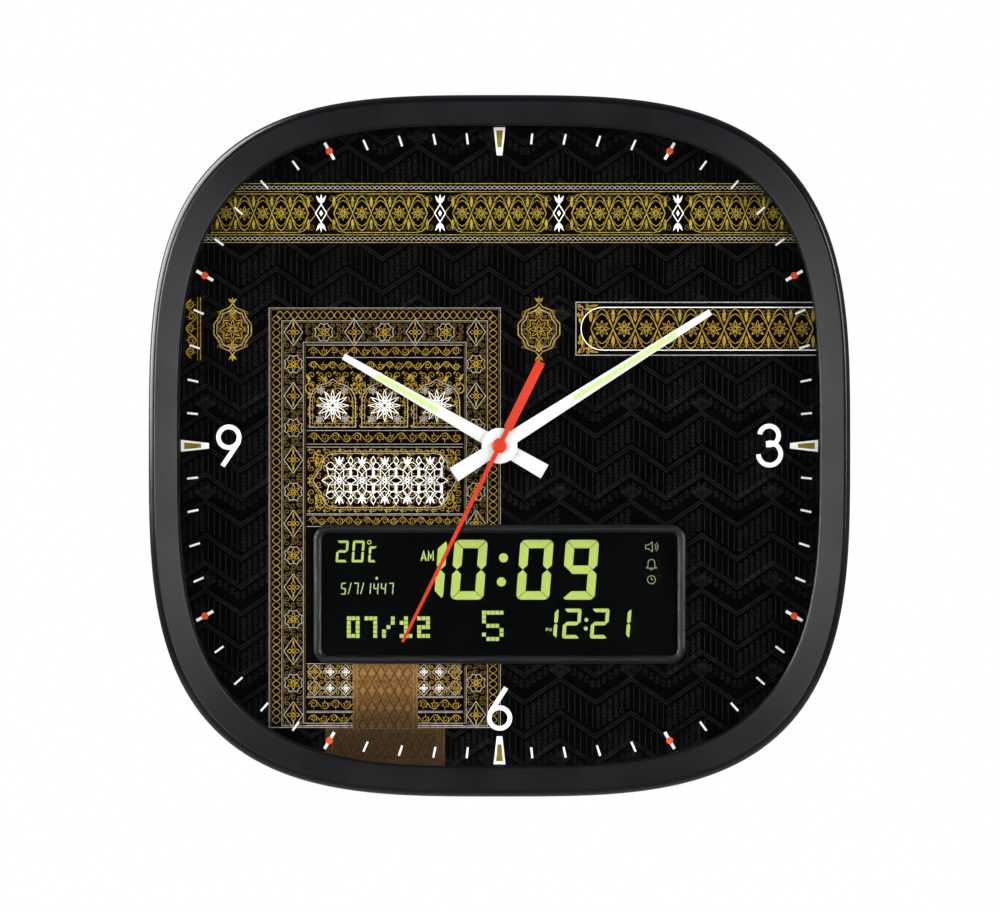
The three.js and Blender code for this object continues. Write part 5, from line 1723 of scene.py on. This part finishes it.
@dataclass
class Medallions(Ornament):
    """Two hanging medallions and the strip at the left edge."""

    medallions: tuple[Box, ...] = ((-125.7, 54.9, 17.6, 24.4), (18.6, 54.9, 19.6, 25.2))
    quarter: tuple[Point, ...] = ((0, 1), (0.16, 0.84), (0.62, 0.7), (0.74, 0.44), (1, 0.2))
    strip: Box = (-152.6, -140.8, 40.3, 70.0)

    def build(self) -> None:
        """Prints the medallions and the strip."""
        for x, z, width, height in self.medallions:
            half = [*self.quarter, *[(side, -up) for side, up in reversed(self.quarter)]]
            half = [(x + width / 2 * side, z + height / 2 * up) for side, up in half]
            outline = half + [(2 * x - px, pz) for px, pz in reversed(half[1:-1])]
            self.ground.fill(outline)
            self.gold.loop(outline, 0.5)
            wide, tall = width * 0.42, height * 0.36
            self.scrolls(self.dim, (x - wide, x + wide, z - tall, z + tall), 2.1, 0.32)
            self.rule.loop([(x + (px - x) * 0.84, z + (pz - z) * 0.84) for px, pz in outline], FINE)
            self.plain.fill(star((x, z), 8, 6.0, 4.3), (x, z))
            self.gold.loop(star((x, z), 8, 6.0, 4.3), 0.4)
            self.rosette(self.gold, (x, z), 4.6, 8, 0.34)
            for hand in BOTH:
                self.rosette(self.gold, (x, z + hand * height * 0.33), 2.2, 5, 0.38)
                self.spray(self.gold, (x, z + hand * height * 0.5), hand, 40, (3.0, 1.1))
        left, right, low, high = self.strip
        self.gold.loop(rectangle(left, right, low, high), 0.42)
        self.gold.stroke([(right - 1.4, low), (right - 1.4, high)], FINE)
        self.ground.fill(rectangle(left + 5.1, right, low, high))
        self.vine((right - 4.4, low + 1), (right - 4.4, high - 1), 6.6, 5.4, 0.55)


@dataclass
class Weave:
    """Dark woven ground of double zigzags with small motifs between them."""

    pitch: float = 33.4
    period: float = 41.8
    fall: float = 11.3
    rows: Triple = (29.05, 16.4, 0.4)
    peak: float = 28.44
    second_line: float = -1.35
    chevron: tuple[Point, ...] = ((-1.2, 1.1), (0.0, 2.2), (1.2, 1.1))
    chords: int = 8

    def build(self) -> None:
        """Prints the ground."""
        grey = Coat("woven_ground", Place.WEAVE, WEAVE_INK)
        rows = [(row + self.period * shift, kind)
                for kind, row in enumerate(self.rows) for shift in range(-5, 4)]
        for row, _ in rows:
            for lift in (0.0, self.second_line):
                grey.stroke(self._zigzag(row + lift), 0.42)
        for row, kind in rows:
            for column in range(-6, 6):
                self._motifs(grey, self.peak + column * self.pitch, row + self.second_line, kind)
        grey.build()

    def _zigzag(self, height: float) -> Outline:
        """Points of one zigzag line whose peaks lie at a height."""
        line = []
        for number in range(-11 * self.chords, 12 * self.chords):
            step, part = divmod(number, self.chords)
            share = part / self.chords
            down = 1 - share if step % 2 else share
            line.append((self.peak + (step + share) * self.pitch / 2, height - self.fall * down))
        return line

    def _motifs(self, coat: Coat, x: float, z: float, kind: int) -> None:
        """Prints the small work below one peak: hatching, lozenges and chevrons.

        Args:
            coat: the colour.
            x: place of the lower line's peak.
            z: its height.
            kind: which of the three rows it is.
        """
        for share in [(number + 0.5) / 6 for number in range(6)]:
            for hand in BOTH:
                across, low = x + hand * self.pitch / 2 * share, z - self.fall * share - 3.4
                if hand > 0 and kind:
                    coat.stroke([(across, low + 2.0), (across, low - (9.0 if kind == 1 else 7.6))], 0.34)
                    continue
                for height in [low - 3.5 * row for row in range(3 if kind else 1)]:
                    coat.loop(lozenge((across, height), 1.5, 2.3), 0.28)
                    coat.stroke([(across + run, height - fall) for run, fall in self.chevron], FINE)
        for width in () if kind else (3.0, 6.0, 9.0):
            coat.loop(lozenge((x, z - 8.0), width, width * 0.7), FIRM)


@dataclass
class ClothStrip:
    """Gold-brown strip under the display with a quiet lattice on it."""

    left: float = -82.0
    right: float = -25.6
    neck_left: float = -69.2
    neck_right: float = -38.4
    low: float = -146.0
    knee: float = -133.2
    high: float = -101.9
    pitch: float = 4.2

    def build(self) -> None:
        """Prints the strip."""
        ground = Coat("brocade_ground", Place.CLOTH, BROCADE_INK)
        shade = Coat("brocade_shades", Place.CLOTH_SHADE, BROCADE_SHADE_INK)
        line = Coat("brocade_lines", Place.CLOTH_LINE, BROCADE_LINE_INK)
        left, right, knee = self.left, self.right, self.knee
        ground.fill(rectangle(self.neck_left, self.neck_right, knee, self.high))
        hem = [left + (right - left) * step / 12 for step in range(13)]
        ground.fill([*[(x, -min(150.8, reach(151.4, x))) for x in hem], (right, knee), (left, knee)])
        for x in (self.neck_left + 0.5, self.neck_left + 2.2, self.neck_right - 2.2, self.neck_right - 0.5):
            line.stroke([(x, self.high), (x, knee)], FINE)
        for x in (left + 0.6, left + 3.4, right - 3.4, right - 0.6):
            line.stroke([(x, knee), (x, self.low)], FIRM)
        line.stroke([(left, knee), (right, knee)], 0.34)
        start, end = self.neck_left + 2.6, self.neck_right - 2.6
        for (x, z), row in self._lattice(start, end, self.high - 1.2, 4.1, 8):
            shade.loop(lozenge((x, z), 4.0, 7.4), 0.32)
            (line if row % 2 else shade).loop(star((x, z), 4, 1.1, 0.5), 0.28)
        for centre, _ in self._lattice(left + 4.6, right - 4.6, knee - 3.2, 5.2, 3):
            shade.loop(lozenge(centre, 4.0, 9.6), 0.32)
            shade.fill(lozenge(centre, 1.1, 2.2))
        for coat in (ground, shade, line):
            coat.build()

    def _lattice(
        self, left: float, right: float, top: float, drop: float, rows: int
    ) -> list[tuple[Point, int]]:
        """Centres of a lattice whose rows stand half a pitch apart.

        Args:
            left: left limit.
            right: right limit.
            top: height of the first row.
            drop: distance between rows.
            rows: number of rows.

        Returns:
            Each centre with the number of its row.
        """
        middle = (self.left + self.right) / 2
        spots = [((middle + self.pitch * (column + row % 2 / 2), top - drop * row), row)
                 for row in range(rows) for column in range(-6, 7)]
        return [(centre, row) for centre, row in spots if left < centre[0] < right]


@dataclass
class Marks:
    """Minute ticks, hour bars with their dots, four wedges and the plain numerals 3, 6 and 9."""

    tick: Triple = (144.6, 5.1, 0.95)
    hour: Triple = (145.3, 9.0, 1.4)
    hour_dot: float = 1.65
    wedge: Box = (136.8, 150.0, 2.6, 5.6)
    gem: Box = (140.6, 148.5, 1.8, 3.15)
    numeral_stroke: float = 2.2

    def build(self) -> None:
        """Prints the marks."""
        white = Coat("minute_marks", Place.MARK, WHITE_INK)
        red = Coat("hour_dots", Place.TOP, RED_INK)
        olive = Coat("wedge_gems", Place.TOP, OLIVE_INK)
        for minute in range(60):
            angle = math.radians(90 - 6 * minute)
            x, z = math.cos(angle), math.sin(angle)
            if minute % 15 == 0:
                for coat, (low, high, narrow, wide) in ((white, self.wedge), (olive, self.gem)):
                    corners = ((low, narrow), (high, wide), (high, -wide), (low, -narrow))
                    coat.fill([(x * run - z * off / 2, z * run + x * off / 2) for run, off in corners])
                continue
            middle, length, width = self.tick if minute % 5 else self.hour
            middle *= squircle(angle)
            white.stroke([(x * run, z * run) for run in (middle - length / 2, middle + length / 2)], width)
            if minute % 5 == 0:
                red.disc((x * middle, z * middle), self.hour_dot, 28)
        for coat in (white, red, olive):
            coat.build()
        self.numerals()

    def numerals(self) -> None:
        """Prints the numerals."""
        white = Coat("numerals", Place.MARK, WHITE_INK)
        width = self.numeral_stroke
        white.stroke([*arc((127.0, 4.85), 4.45, 172, -88, 26), (125.6, 0.45)], width)
        white.stroke([(125.6, 0.95), *arc((127.2, -3.85), 5.25, 88, -178, 30)], width)
        white.loop(arc((-127.5, 4.04), 4.87, 0, 345, 36), width)
        white.stroke([(-122.75, 3.2), (-123.0, 1.6), (-130.4, -9.5)], width)
        white.loop(arc((0.05, -128.2), 4.85, 0, 345, 36), width)
        white.stroke([(-4.65, -127.2), (-4.3, -125.6), (3.1, -113.9)], width)
        white.build()


@dataclass
class Dial:
    """Printed sheet: woven ground, bands, panel, medallions, minute marks and numerals."""

    def build(self) -> None:
        """Prints the whole dial."""
        finish_nodes(SHEET, "dial_sheet")
        Weave().build()
        coats = {
            "ground": Coat("ornament_ground", Place.GROUND, BROWN_INK),
            "gold": Coat("gold_ornament", Place.LINE, GOLD_INK),
            "dim": Coat("dim_gold_ornament", Place.SHADE, DIM_GOLD_INK),
            "band": Coat("band_gold_ornament", Place.LINE, BAND_GOLD_INK),
            "white": Coat("white_ornament", Place.WHITE, WHITE_INK),
            "rule": Coat("rule_lines", Place.WHITE, RULE_INK),
            "plain": Coat("plain_fields", Place.FIELD, FIELD_INK),
        }
        shared = {key: coat for key, coat in coats.items() if key != "band"}
        TopBand(**{**shared, "gold": coats["band"]}).build()
        for part in (NichePanel, SideBand, Medallions):
            part(**shared).build()
        for coat in coats.values():
            coat.build()
        ClothStrip().build()
        Marks().build()


# Display


@dataclass(frozen=True)
class Figure:
    """One size of slanted seven-segment figure: its box, level and upright bars and half gap, in mm."""

    size: Point
    bar: float
    side: float
    gap: float
    slant: float = 0.078

    def shapes(self) -> dict[str, Outline]:
        """Works out the seven segments.

        Returns:
            The corners of each segment in the upright box, by its usual letter.
        """
        (width, height), bar, side, gap = self.size, self.bar, self.side, self.gap
        middle, corner = height / 2, min(side, bar) * 0.55
        cut = corner * (1 - math.sqrt(0.5))
        lower = [(cut + gap, cut), (corner, 0), (width - corner, 0), (width - cut - gap, cut),
                 (width - side - gap, bar), (side + gap, bar)]
        upright = [(cut, cut + gap), (0, corner), (0, middle - side / 2), (side / 2, middle - gap * 0.6),
                   (side, middle - side / 2), (side, bar + gap)]
        tip, neck = side / 2 + gap, side / 2 + bar / 2 + gap
        centre = [(tip, middle), (neck, middle - bar / 2), (width - neck, middle - bar / 2),
                  (width - tip, middle), (width - neck, middle + bar / 2), (neck, middle + bar / 2)]

        def mirrored(points: Sequence[Point], across: bool, up: bool) -> Outline:
            """Mirrors points in the box."""
            return [(width - u if across else u, height - v if up else v) for u, v in points]

        return {
            "a": mirrored(lower, False, True),
            "b": mirrored(upright, True, True),
            "c": mirrored(upright, True, False),
            "d": lower,
            "e": upright,
            "f": mirrored(upright, False, True),
            "g": centre,
        }

    def mark(self, coat: Coat, segments: str, corner: Point) -> None:
        """Prints the named segments with the box's lower left corner at a point."""
        for name in segments:
            coat.fill([(corner[0] + u + v * self.slant, corner[1] + v) for u, v in self.shapes()[name]])

    def row(self, coat: Coat, text: str, places: Iterable[float], low: float) -> None:
        """Prints marks side by side."""
        for mark, x in zip(text, places):
            self.mark(coat, SEGMENTS[mark], (x, low))


SEGMENTS = {
    "0": "abcdef", "1": "bc", "2": "abged", "4": "fgbc", "5": "afgcd", "7": "abc", "9": "abcdfg", "C": "adef"
}
CLOCK_FIGURE = Figure((15.65, 28.2), 3.95, 4.18, 0.17)
ALARM_FIGURE = Figure((8.3, 14.1), 1.7, 1.7, 0.1)
DEGREE_FIGURE = Figure((5.6, 10.3), 1.18, 1.18, 0.08)
UNIT_FIGURE = Figure((3.8, 7.6), 1.18, 1.18, 0.06)
DATE_FIGURE = Figure((2.5, 5.6), 0.55, 0.55, 0.04)
DAY_DOTS = ("#####", "#....", "#....", ".###.", "....#", "#...#", ".###.")
DATE_DOTS = ("###.###...#..#..###", "#.#...#...#.##....#", "#.#...#..#...#..###", "#.#...#.#....#..#..",
             "###...#.#...###.###")


@dataclass
class Display:
    """Display window: moulded rim, smoked lens, and the lit segments on the panel."""

    centre: Point = (0.0, -69.9)
    size: Point = (175.0, 65.3)
    corner: float = 7.0
    band: float = 3.5
    flange: float = 30.2
    front: float = 32.2
    sleeve_rear: float = 26.4
    sleeve_wall: float = 1.2
    bead: tuple[Point, ...] = (
        (0.0, 0.95), (0.05, 0.76), (0.16, 0.61), (0.24, 0.56), (1.14, 0.13), (1.24, 0.085), (1.4, 0.03),
        (1.6, 0.0), (2.2, 0.0), (2.36, 0.025), (2.5, 0.075), (2.58, 0.11), (3.24, 0.43), (3.32, 0.475),
        (3.42, 0.56), (3.48, 0.68), (3.5, 0.85),
    )
    mask_level: float = 28.5
    mask_gap: float = 0.4
    mask_thickness: float = 0.04
    mask_inner: Point = (163.4, 51.8)
    lens_size: Point = (167.4, 57.7)
    lens_levels: Point = (28.7, 31.1)
    panel_size: Point = (164.0, 52.0)
    panel_levels: Point = (23.3, 26.1)
    panel_corner: float = 0.6
    dot: Point = (1.83, 2.07)
    figures: tuple[tuple[Figure, str, tuple[float, ...], float], ...] = (
        (CLOCK_FIGURE, "1009", (-42.35, -23.27, 7.76, 29.15), -72.49),
        (ALARM_FIGURE, "1221", (18.55, 29.38, 42.54, 52.87), -90.82),
        (DEGREE_FIGURE, "20", (-77.33, -69.81), -54.91),
        (UNIT_FIGURE, "C", (-62.0,), -54.91),
    )
    degree: Point = (-61.35, -45.5)
    colon: tuple[Point, ...] = ((1.88, -52.79), (0.89, -64.12))
    small_colon: tuple[Point, ...] = ((40.94, -82.03), (40.66, -86.12))

    def rim(self) -> None:
        """Builds the rounded rim with the sleeve that goes through the dial."""
        inner = self.band - self.sleeve_wall
        profile = [(0.0, self.flange), *[(across, self.front - fall) for across, fall in self.bead],
                   (self.band, self.sleeve_rear), (inner, self.sleeve_rear), (inner, self.flange)]
        piece = framed("display_rim", profile, self.size, self.corner, self.centre)
        seat(close(piece, 40), RIM, "case", "bezel_plastic", "lcd_bezel")

    def mask(self) -> None:
        """Builds the black border printed behind the lens."""
        width, height = [size - 2 * (self.band + self.mask_gap) for size in self.size]
        corner = self.corner - self.band
        piece = slab("lens_border", (width, height), self.centre, self.mask_level, corner=corner)
        side = (width - self.mask_inner[0]) / 2
        inset(side)
        stretch = self.mask_inner[1] / (height - 2 * side)
        bpy.ops.transform.resize(value=(1, 1, stretch), center_override=spot(self.centre, 0))
        bpy.ops.mesh.delete(type="FACE")
        bpy.ops.mesh.select_all(action="SELECT")
        rise(self.mask_thickness)
        seat(close(piece), PANEL_GLASS, "case", "lens_plastic")

    def pane(self, name: str, size: Point, levels: Point, corner: float) -> Piece:
        """Builds a flat pane with rounded corners between two levels."""
        return close(slab(name, size, self.centre, levels[0], levels[1] - levels[0], corner), 30)

    def dots(self, coat: Coat, rows: Sequence[str], corner: Point) -> None:
        """Prints a dot-matrix shape.

        Args:
            coat: the colour.
            rows: rows from the top, with # for a lit cell.
            corner: upper left corner in mm.
        """
        cell, pitch = self.dot
        for down, row in enumerate(rows):
            for across, mark in enumerate(row):
                if mark == "#":
                    x, z = corner[0] + across * pitch, corner[1] - down * pitch
                    coat.fill(rectangle(x, x + cell, z - cell, z))

    def segments(self) -> None:
        """Prints the lit marks: times, date, temperature, day number and small icons."""
        lit = Coat("lit_segments", Place.SEGMENTS, SEGMENT, window=None)
        pale = Coat("pale_segments", Place.SEGMENTS, PALE_SEGMENT, window=None)
        icons = Coat("display_icons", Place.SEGMENTS, ICON, window=None)
        for figure, text, places, low in self.figures:
            figure.row(lit, text, places, low)
        lit.loop(arc(self.degree, 0.85, 0, 345, 15), 0.42)
        for centre in self.colon:
            lit.disc(centre, 2.16, 24)
        for centre in self.small_colon:
            pale.disc(centre, 0.94, 16)
        self.letters(lit)
        self.date(pale)
        self.dots(lit, DAY_DOTS, (-8.23, -77.7))
        self.dots(lit, DATE_DOTS, (-71.9, -80.4))
        self.icons(icons)
        for coat in (lit, pale, icons):
            coat.build("display_glass")

    def letters(self, coat: Coat) -> None:
        """Prints the plain AM and PM marks."""
        x, z, height, width, stroke = -37.18, -54.15, 4.5, 2.9, 0.85
        coat.stroke([(x + 0.3, z), (x + width / 2, z + height - 0.3), (x + width - 0.3, z)], stroke)
        coat.stroke([(x + 0.8, z + height * 0.28), (x + width - 0.8, z + height * 0.28)], stroke * 0.8)
        self.letter_m(coat, (x + width + 0.45, z), (width, height), stroke)
        x, z, height, width, stroke = 21.86, -87.4, 1.5, 1.3, 0.3
        top, right, half = z + height - 0.1, x + width * 0.7, z + height * 0.5
        coat.stroke([(x + 0.1, z), (x + 0.1, top), (right, top), (right, half), (x, half)], stroke)
        self.letter_m(coat, (x + width + 0.15, z), (width, height), stroke)

    def letter_m(self, coat: Coat, corner: Point, size: Point, stroke: float) -> None:
        """Prints the letter M.

        Args:
            coat: the colour.
            corner: lower left corner.
            size: width and height.
            stroke: thickness of its strokes.
        """
        (x, z), (width, height) = corner, size
        left, right, top = x + 0.4 * stroke, x + width - 0.4 * stroke, z + height - 0.2 * stroke
        fold = (x + width / 2, z + height * 0.3)
        coat.stroke([(left, z), (left, top), fold, (right, top), (right, z)], stroke * 0.85)

    def date(self, coat: Coat) -> None:
        """Prints the date in thin small segments."""
        x, low, height = -75.0, -70.1, DATE_FIGURE.size[1]
        for mark in "5/7/1447":
            if mark == "/":
                coat.stroke([(x + 0.2, low + 0.3), (x + 1.6, low + height)], 0.45)
            else:
                DATE_FIGURE.mark(coat, SEGMENTS[mark], (x, low))
            x += 2.3 if mark == "/" else 3.55
        coat.disc((-57.87, -62.43), 0.7, 14)

    def icons(self, coat: Coat) -> None:
        """Prints a loudspeaker, a bell and a clock face as thin outlines."""
        x, z = 71.4, -47.6
        upper = [(x + 0.6, z + 2.3), (x - 1.2, z + 0.9), (x - 2.6, z + 0.9)]
        lower = [(px, 2 * z - pz) for px, pz in reversed(upper)]
        coat.loop(lower + upper, 0.28)
        for radius in (1.7, 2.7):
            coat.stroke(arc((x + 0.6, z), radius, -48, 48, 8), 0.28)
        x, z = 71.6, -55.9
        foot = [(x - 2.4, z - 1.7), (x - 1.6, z - 0.8)]
        bell = [*foot, *arc((x, z + 0.8), 1.6, 180, 0, 10), *[(2 * x - px, pz) for px, pz in reversed(foot)]]
        coat.loop(bell, 0.28)
        coat.stroke(arc((x, z - 1.8), 0.7, 180, 360, 6), 0.28)
        z = -63.1
        coat.loop(arc((x, z), 1.9, 0, 345, 20), HAIR)
        coat.stroke([(x, z + 1.2), (x, z), (x + 0.9, z)], HAIR)

    def build(self) -> None:
        """Builds and dresses the display."""
        self.rim()
        self.mask()
        lens = self.pane("display_lens", self.lens_size, self.lens_levels, self.corner - self.band)
        seat(lens, LENS, "case", "lens_plastic", "lcd_lens")
        panel = self.pane("display_panel", self.panel_size, self.panel_levels, self.panel_corner)
        seat(panel, PANEL_GLASS, "case", "display_glass", "lcd_panel")
        self.segments()
        finish_nodes(DIFFUSER, "lcd_backlight")
        finish_nodes(BLACK, "lcd_carrier")
        finish_nodes(RUBBER, "zebra_strip")
        finish_nodes(Laminate("main_board_green"), "main_board")
        finish_nodes(CHIP, "controller_chip")
        finish_nodes(STEEL, "clock_crystal")


# Hands


@dataclass
class Hand:
    """One stamped hand: hub, tapered blade with a square end, tail and a lume strip, in mm."""

    name: str
    node: str
    body: str
    level: float
    hub: float
    bore: float
    length: float
    tail: float
    root: float
    tip: float
    tail_width: float
    degrees: float
    lume: Triple = (0.0, 0.0, 0.0)
    finish: Finish = WHITE_LACQUER
    slot: str = "white_lacquer"
    thickness: float = 0.5

    def blade(self) -> Piece:
        """Builds the flat blade as one outline drawn out from the tail to the tip.

        Returns:
            The blade.
        """
        piece = slab(self.name, (self.root, self.root), (0, 0), self.level)
        self.draw_edge(piece, 1, self.length, self.tip)
        self.draw_edge(piece, -1, self.tail, self.tail_width)
        bpy.ops.mesh.select_all(action="SELECT")
        rise(self.thickness)
        return close(piece)

    def draw_edge(self, piece: Piece, way: int, run: float, width: float) -> None:
        """Extrudes the upper or lower edge of the blade to its end.

        Args:
            piece: the blade in edit mode.
            way: 1 for the tip, -1 for the tail.
            run: distance of the end from the hub's middle.
            width: width at the end.
        """
        bpy.ops.mesh.select_mode(type="EDGE")
        bpy.ops.mesh.select_all(action="DESELECT")
        bpy.ops.object.mode_set(mode="OBJECT")
        heights = [vertex.co.z * way for vertex in piece.data.vertices]
        top = max(heights)
        for edge in piece.data.edges:
            edge.select = all(heights[number] > top - WELD for number in edge.vertices)
        bpy.ops.object.mode_set(mode="EDIT")
        bpy.ops.mesh.extrude_edges_move(TRANSFORM_OT_translate={"value": (0, 0, way * (run * MM - top))})
        bpy.ops.transform.resize(value=(width / self.root, 1, 1), center_override=(0, 0, 0))
        bpy.ops.mesh.select_mode(type="FACE")

    def turn(self, piece: Piece) -> Piece:
        """Turns a piece clockwise about the axis of the hands to its rest angle."""
        edit(piece)
        turn = -math.radians(self.degrees)
        bpy.ops.transform.rotate(value=turn, orient_axis="Y", center_override=(0, 0, 0))
        bpy.ops.object.mode_set(mode="OBJECT")
        return piece

    def complete(self, piece: Piece, levels: Point, sides: int, angle: float, bevel: float) -> None:
        """Bores a hand, rounds its edges, turns it and seats it.

        Args:
            piece: the hand.
            levels: where the bore starts and ends.
            sides: corners of the bore.
            angle: angle in degrees up to which edges are smoothed.
            bevel: width of the rounded edges.
        """
        combine(piece, turned("bore", [(self.bore, level) for level in levels], sides), "DIFFERENCE")
        close(edit(piece), angle, bevel)
        seat(self.turn(piece), self.finish, self.body, self.slot, self.node)

    def build(self) -> None:
        """Builds the hand and its lume strip."""
        piece, front = self.blade(), self.level + self.thickness
        combine(piece, turned("hub", [(self.hub, self.level), (self.hub, front)], 72), "UNION")
        self.complete(piece, (self.level - 1, self.level + 2), 40, 30, 0.1)
        start, end, width = self.lume
        size, centre = (width, end - start), (0, (start + end) / 2)
        strip = slab(f"{self.name}_lume", size, centre, front + 0.01, 0.06, width * 0.3, 3)
        seat(self.turn(close(strip, 30)), LUME, self.body, self.slot)


@dataclass
class SweepHand(Hand):
    """Second hand: pointer, counterweight and domed cap in one lacquered piece."""

    weight: Triple = (9.0, 44.0, 4.3)
    boss_rear: float = 36.15
    boss_front: float = 37.75
    bore_end: float = 37.25
    dome: tuple[Point, ...] = ((1.0, 0.7), (0.96, 0.38), (0.84, 0.14), (0.62, 0.0))

    def build(self) -> None:
        """Builds the second hand."""
        piece = self.blade()
        start, end, width = self.weight
        size, centre = (width, end - start), (0, -(start + end) / 2)
        combine(piece, slab("weight", size, centre, self.level, self.thickness, 0.3, 3), "UNION")
        dome = [(self.hub * share, self.boss_front - fall) for share, fall in self.dome]
        combine(piece, turned("cap", [(self.hub, self.boss_rear), *dome], 48), "UNION")
        self.complete(piece, (self.boss_rear - 1, self.bore_end), 20, 32, 0.08)


@dataclass
class Hands:
    """The three hands."""

    hour: Hand = field(default_factory=lambda: Hand(
        "hour_blade", "hour_hand", "hour_train", level=33.5, hub=8.2, bore=2.75, length=84.6, tail=24.5,
        root=6.3, tip=3.0, tail_width=7.3, degrees=299.8, lume=(33.6, 66.9, 2.45)))
    minute: Hand = field(default_factory=lambda: Hand(
        "minute_blade", "minute_hand", "minute_train", level=35.1, hub=8.4, bore=1.75, length=117.5,
        tail=25.4, root=6.4, tip=3.0, tail_width=7.4, degrees=57.6, lume=(41.4, 98.6, 2.35)))
    second: Hand = field(default_factory=lambda: SweepHand(
        "sweep_hand", "second_hand", "second_train", level=36.7, hub=3.5, bore=0.62, length=103.0, tail=10.0,
        root=2.2, tip=1.4, tail_width=2.4, degrees=206.3, finish=RED_LACQUER, slot="red_lacquer"))

    def build(self) -> None:
        """Builds the three hands."""
        for hand in (self.hour, self.minute, self.second):
            hand.build()


# Back side and inside


@dataclass
class Controls:
    """Buttons, volume knob, their board and the jack."""

    button_radius: float = 4.2
    flange_radius: float = 5.6
    flange_levels: Point = (5.9, 6.9)
    row: float = -128.0
    dish: tuple[Point, ...] = (
        (-1.6, 0.72), (-0.9, 0.52), (-0.5, 0.4), (-0.2, 0.48), (-0.05, 0.7), (0.0, 1.0),
    )
    buttons: tuple[tuple[str, float], ...] = (("mode", -50.0), ("up", -30.0), ("down", -10.0), ("stop", 10.0))

    def build(self) -> None:
        """Builds the buttons, with dished tops and rounded edges, and dresses the rest."""
        low, high = self.flange_levels
        profile = [(self.button_radius + out, level) for out, level in self.dish]
        profile += [(self.button_radius, low), (self.flange_radius, low), (self.flange_radius, high)]
        for name, x in self.buttons:
            piece = turned(f"button_{name}_cap", profile, 48, (x, self.row))
            seat(close(piece, 32), KEY, f"{name}_key", "key_plastic", f"button_{name}")
        finish_nodes(GRIP, "volume_knob")
        finish_nodes(STEEL, "volume_switch")
        finish_nodes(Laminate("key_board_green"), "key_board")
        finish_nodes(BLACK, "dc_jack")


@dataclass
class Power:
    """Cells in their bay, the contacts and the door."""

    cells: tuple[tuple[str, int, float, float], ...] = (
        ("display_cell_1", 2, 24.2, 74.7), ("display_cell_2", 2, 71.8, 21.3),
        ("display_cell_3", 2, 24.2, 74.7), ("movement_cell", 0, -23.65, 26.85),
    )
    contacts: tuple[str, ...] = (
        "end_contact_minus", "end_contact_plus", "link_contact_lower", "link_contact_upper",
        "movement_spring_contact", "movement_plate_contact",
    )
    door_size: Point = (46.7, 57.8)
    door_centre: Point = (78.0, 48.0)
    door_thickness: float = 1.8
    door_corner: float = 2.0
    chamfer: float = 0.5
    groove: tuple[Point, ...] = ((0.6, 0.0), (0.12, 0.35), (0.5, 0.0), (0.12, -0.35))
    pocket: Point = (22.0, 9.0)
    pocket_depth: float = 0.9
    pocket_corner: float = 2.5
    pocket_rise: float = 20.5
    ribs: int = 4
    rib: Point = (17.0, 0.9)

    def door(self) -> None:
        """Builds the battery door with its chamfer, panel groove and ribbed thumb pocket."""
        front = self.door_thickness
        piece = slab("battery_door_panel", self.door_size, self.door_centre, front, self.chamfer - front,
                     self.door_corner)
        for width, depth in ((self.chamfer, -self.chamfer), *self.groove):
            inset(width, depth)
        close(piece)
        deep, tall = self.pocket_depth, self.pocket[1]
        x, z = self.door_centre[0], self.door_centre[1] + self.pocket_rise
        combine(piece, slab("pocket", self.pocket, (x, z), deep, -deep - 1, self.pocket_corner), "DIFFERENCE")
        for number in range(self.ribs):
            centre = (x, z - tall / 2 + tall * (number + 0.5) / self.ribs)
            rib = slab("rib", self.rib, centre, deep + 0.3, -deep - 0.1, 0.4, 3)
            inset(0.18, -0.15)
            combine(piece, rib, "UNION")
        smooth(piece, 32)
        seat(piece, COVER, "door", "cover_plastic", "battery_door")

    def build(self) -> None:
        """Dresses the cells and contacts and builds the door."""
        for node, axis, start, end in self.cells:
            finish_nodes(Sleeve(f"sleeve_{node}", axis, start, end), node)
        finish_nodes(STEEL, *self.contacts)
        self.door()


@dataclass
class Sound:
    """Loudspeaker with its clamp ring."""

    def build(self) -> None:
        """Dresses the loudspeaker."""
        finish_nodes(STEEL, "speaker_frame")
        finish_nodes(Pulp("cone_pulp"), "speaker_cone")
        finish_nodes(FERRITE, "speaker_magnet")
        finish_nodes(BLACK, "speaker_clamp_ring")


@dataclass
class Movement:
    """Quartz movement: cases, train, coil and board."""

    def build(self) -> None:
        """Dresses the movement."""
        finish_nodes(MOVEMENT, "movement_front_case", "movement_rear_case", "train_bridge")
        finish_nodes(GEAR, "hour_wheel", "minute_wheel", "second_wheel")
        finish_nodes(GEAR_TINTED, "third_wheel", "intermediate_wheel")
        finish_nodes(KNOB, "motion_wheel")
        finish_nodes(FERRITE, "rotor")
        finish_nodes(STEEL, "stator")
        finish_nodes(Winding("coil_turns"), "coil")
        finish_nodes(Laminate("movement_board_green", 1.8), "movement_board")
        finish_nodes(BRASS, "movement_nut", "movement_washer")


def main() -> None:
    """Builds every sub-assembly in order."""
    logging.basicConfig(level=logging.INFO, format="%(message)s")
    for part in (Studio(), Case(), Dial(), Display(), Hands(), Controls(), Power(), Sound(), Movement()):
        LOG.info("building %s", type(part).__name__)
        part.build()
    bpy.context.view_layer.update()


if __name__ == "__main__":
    main()
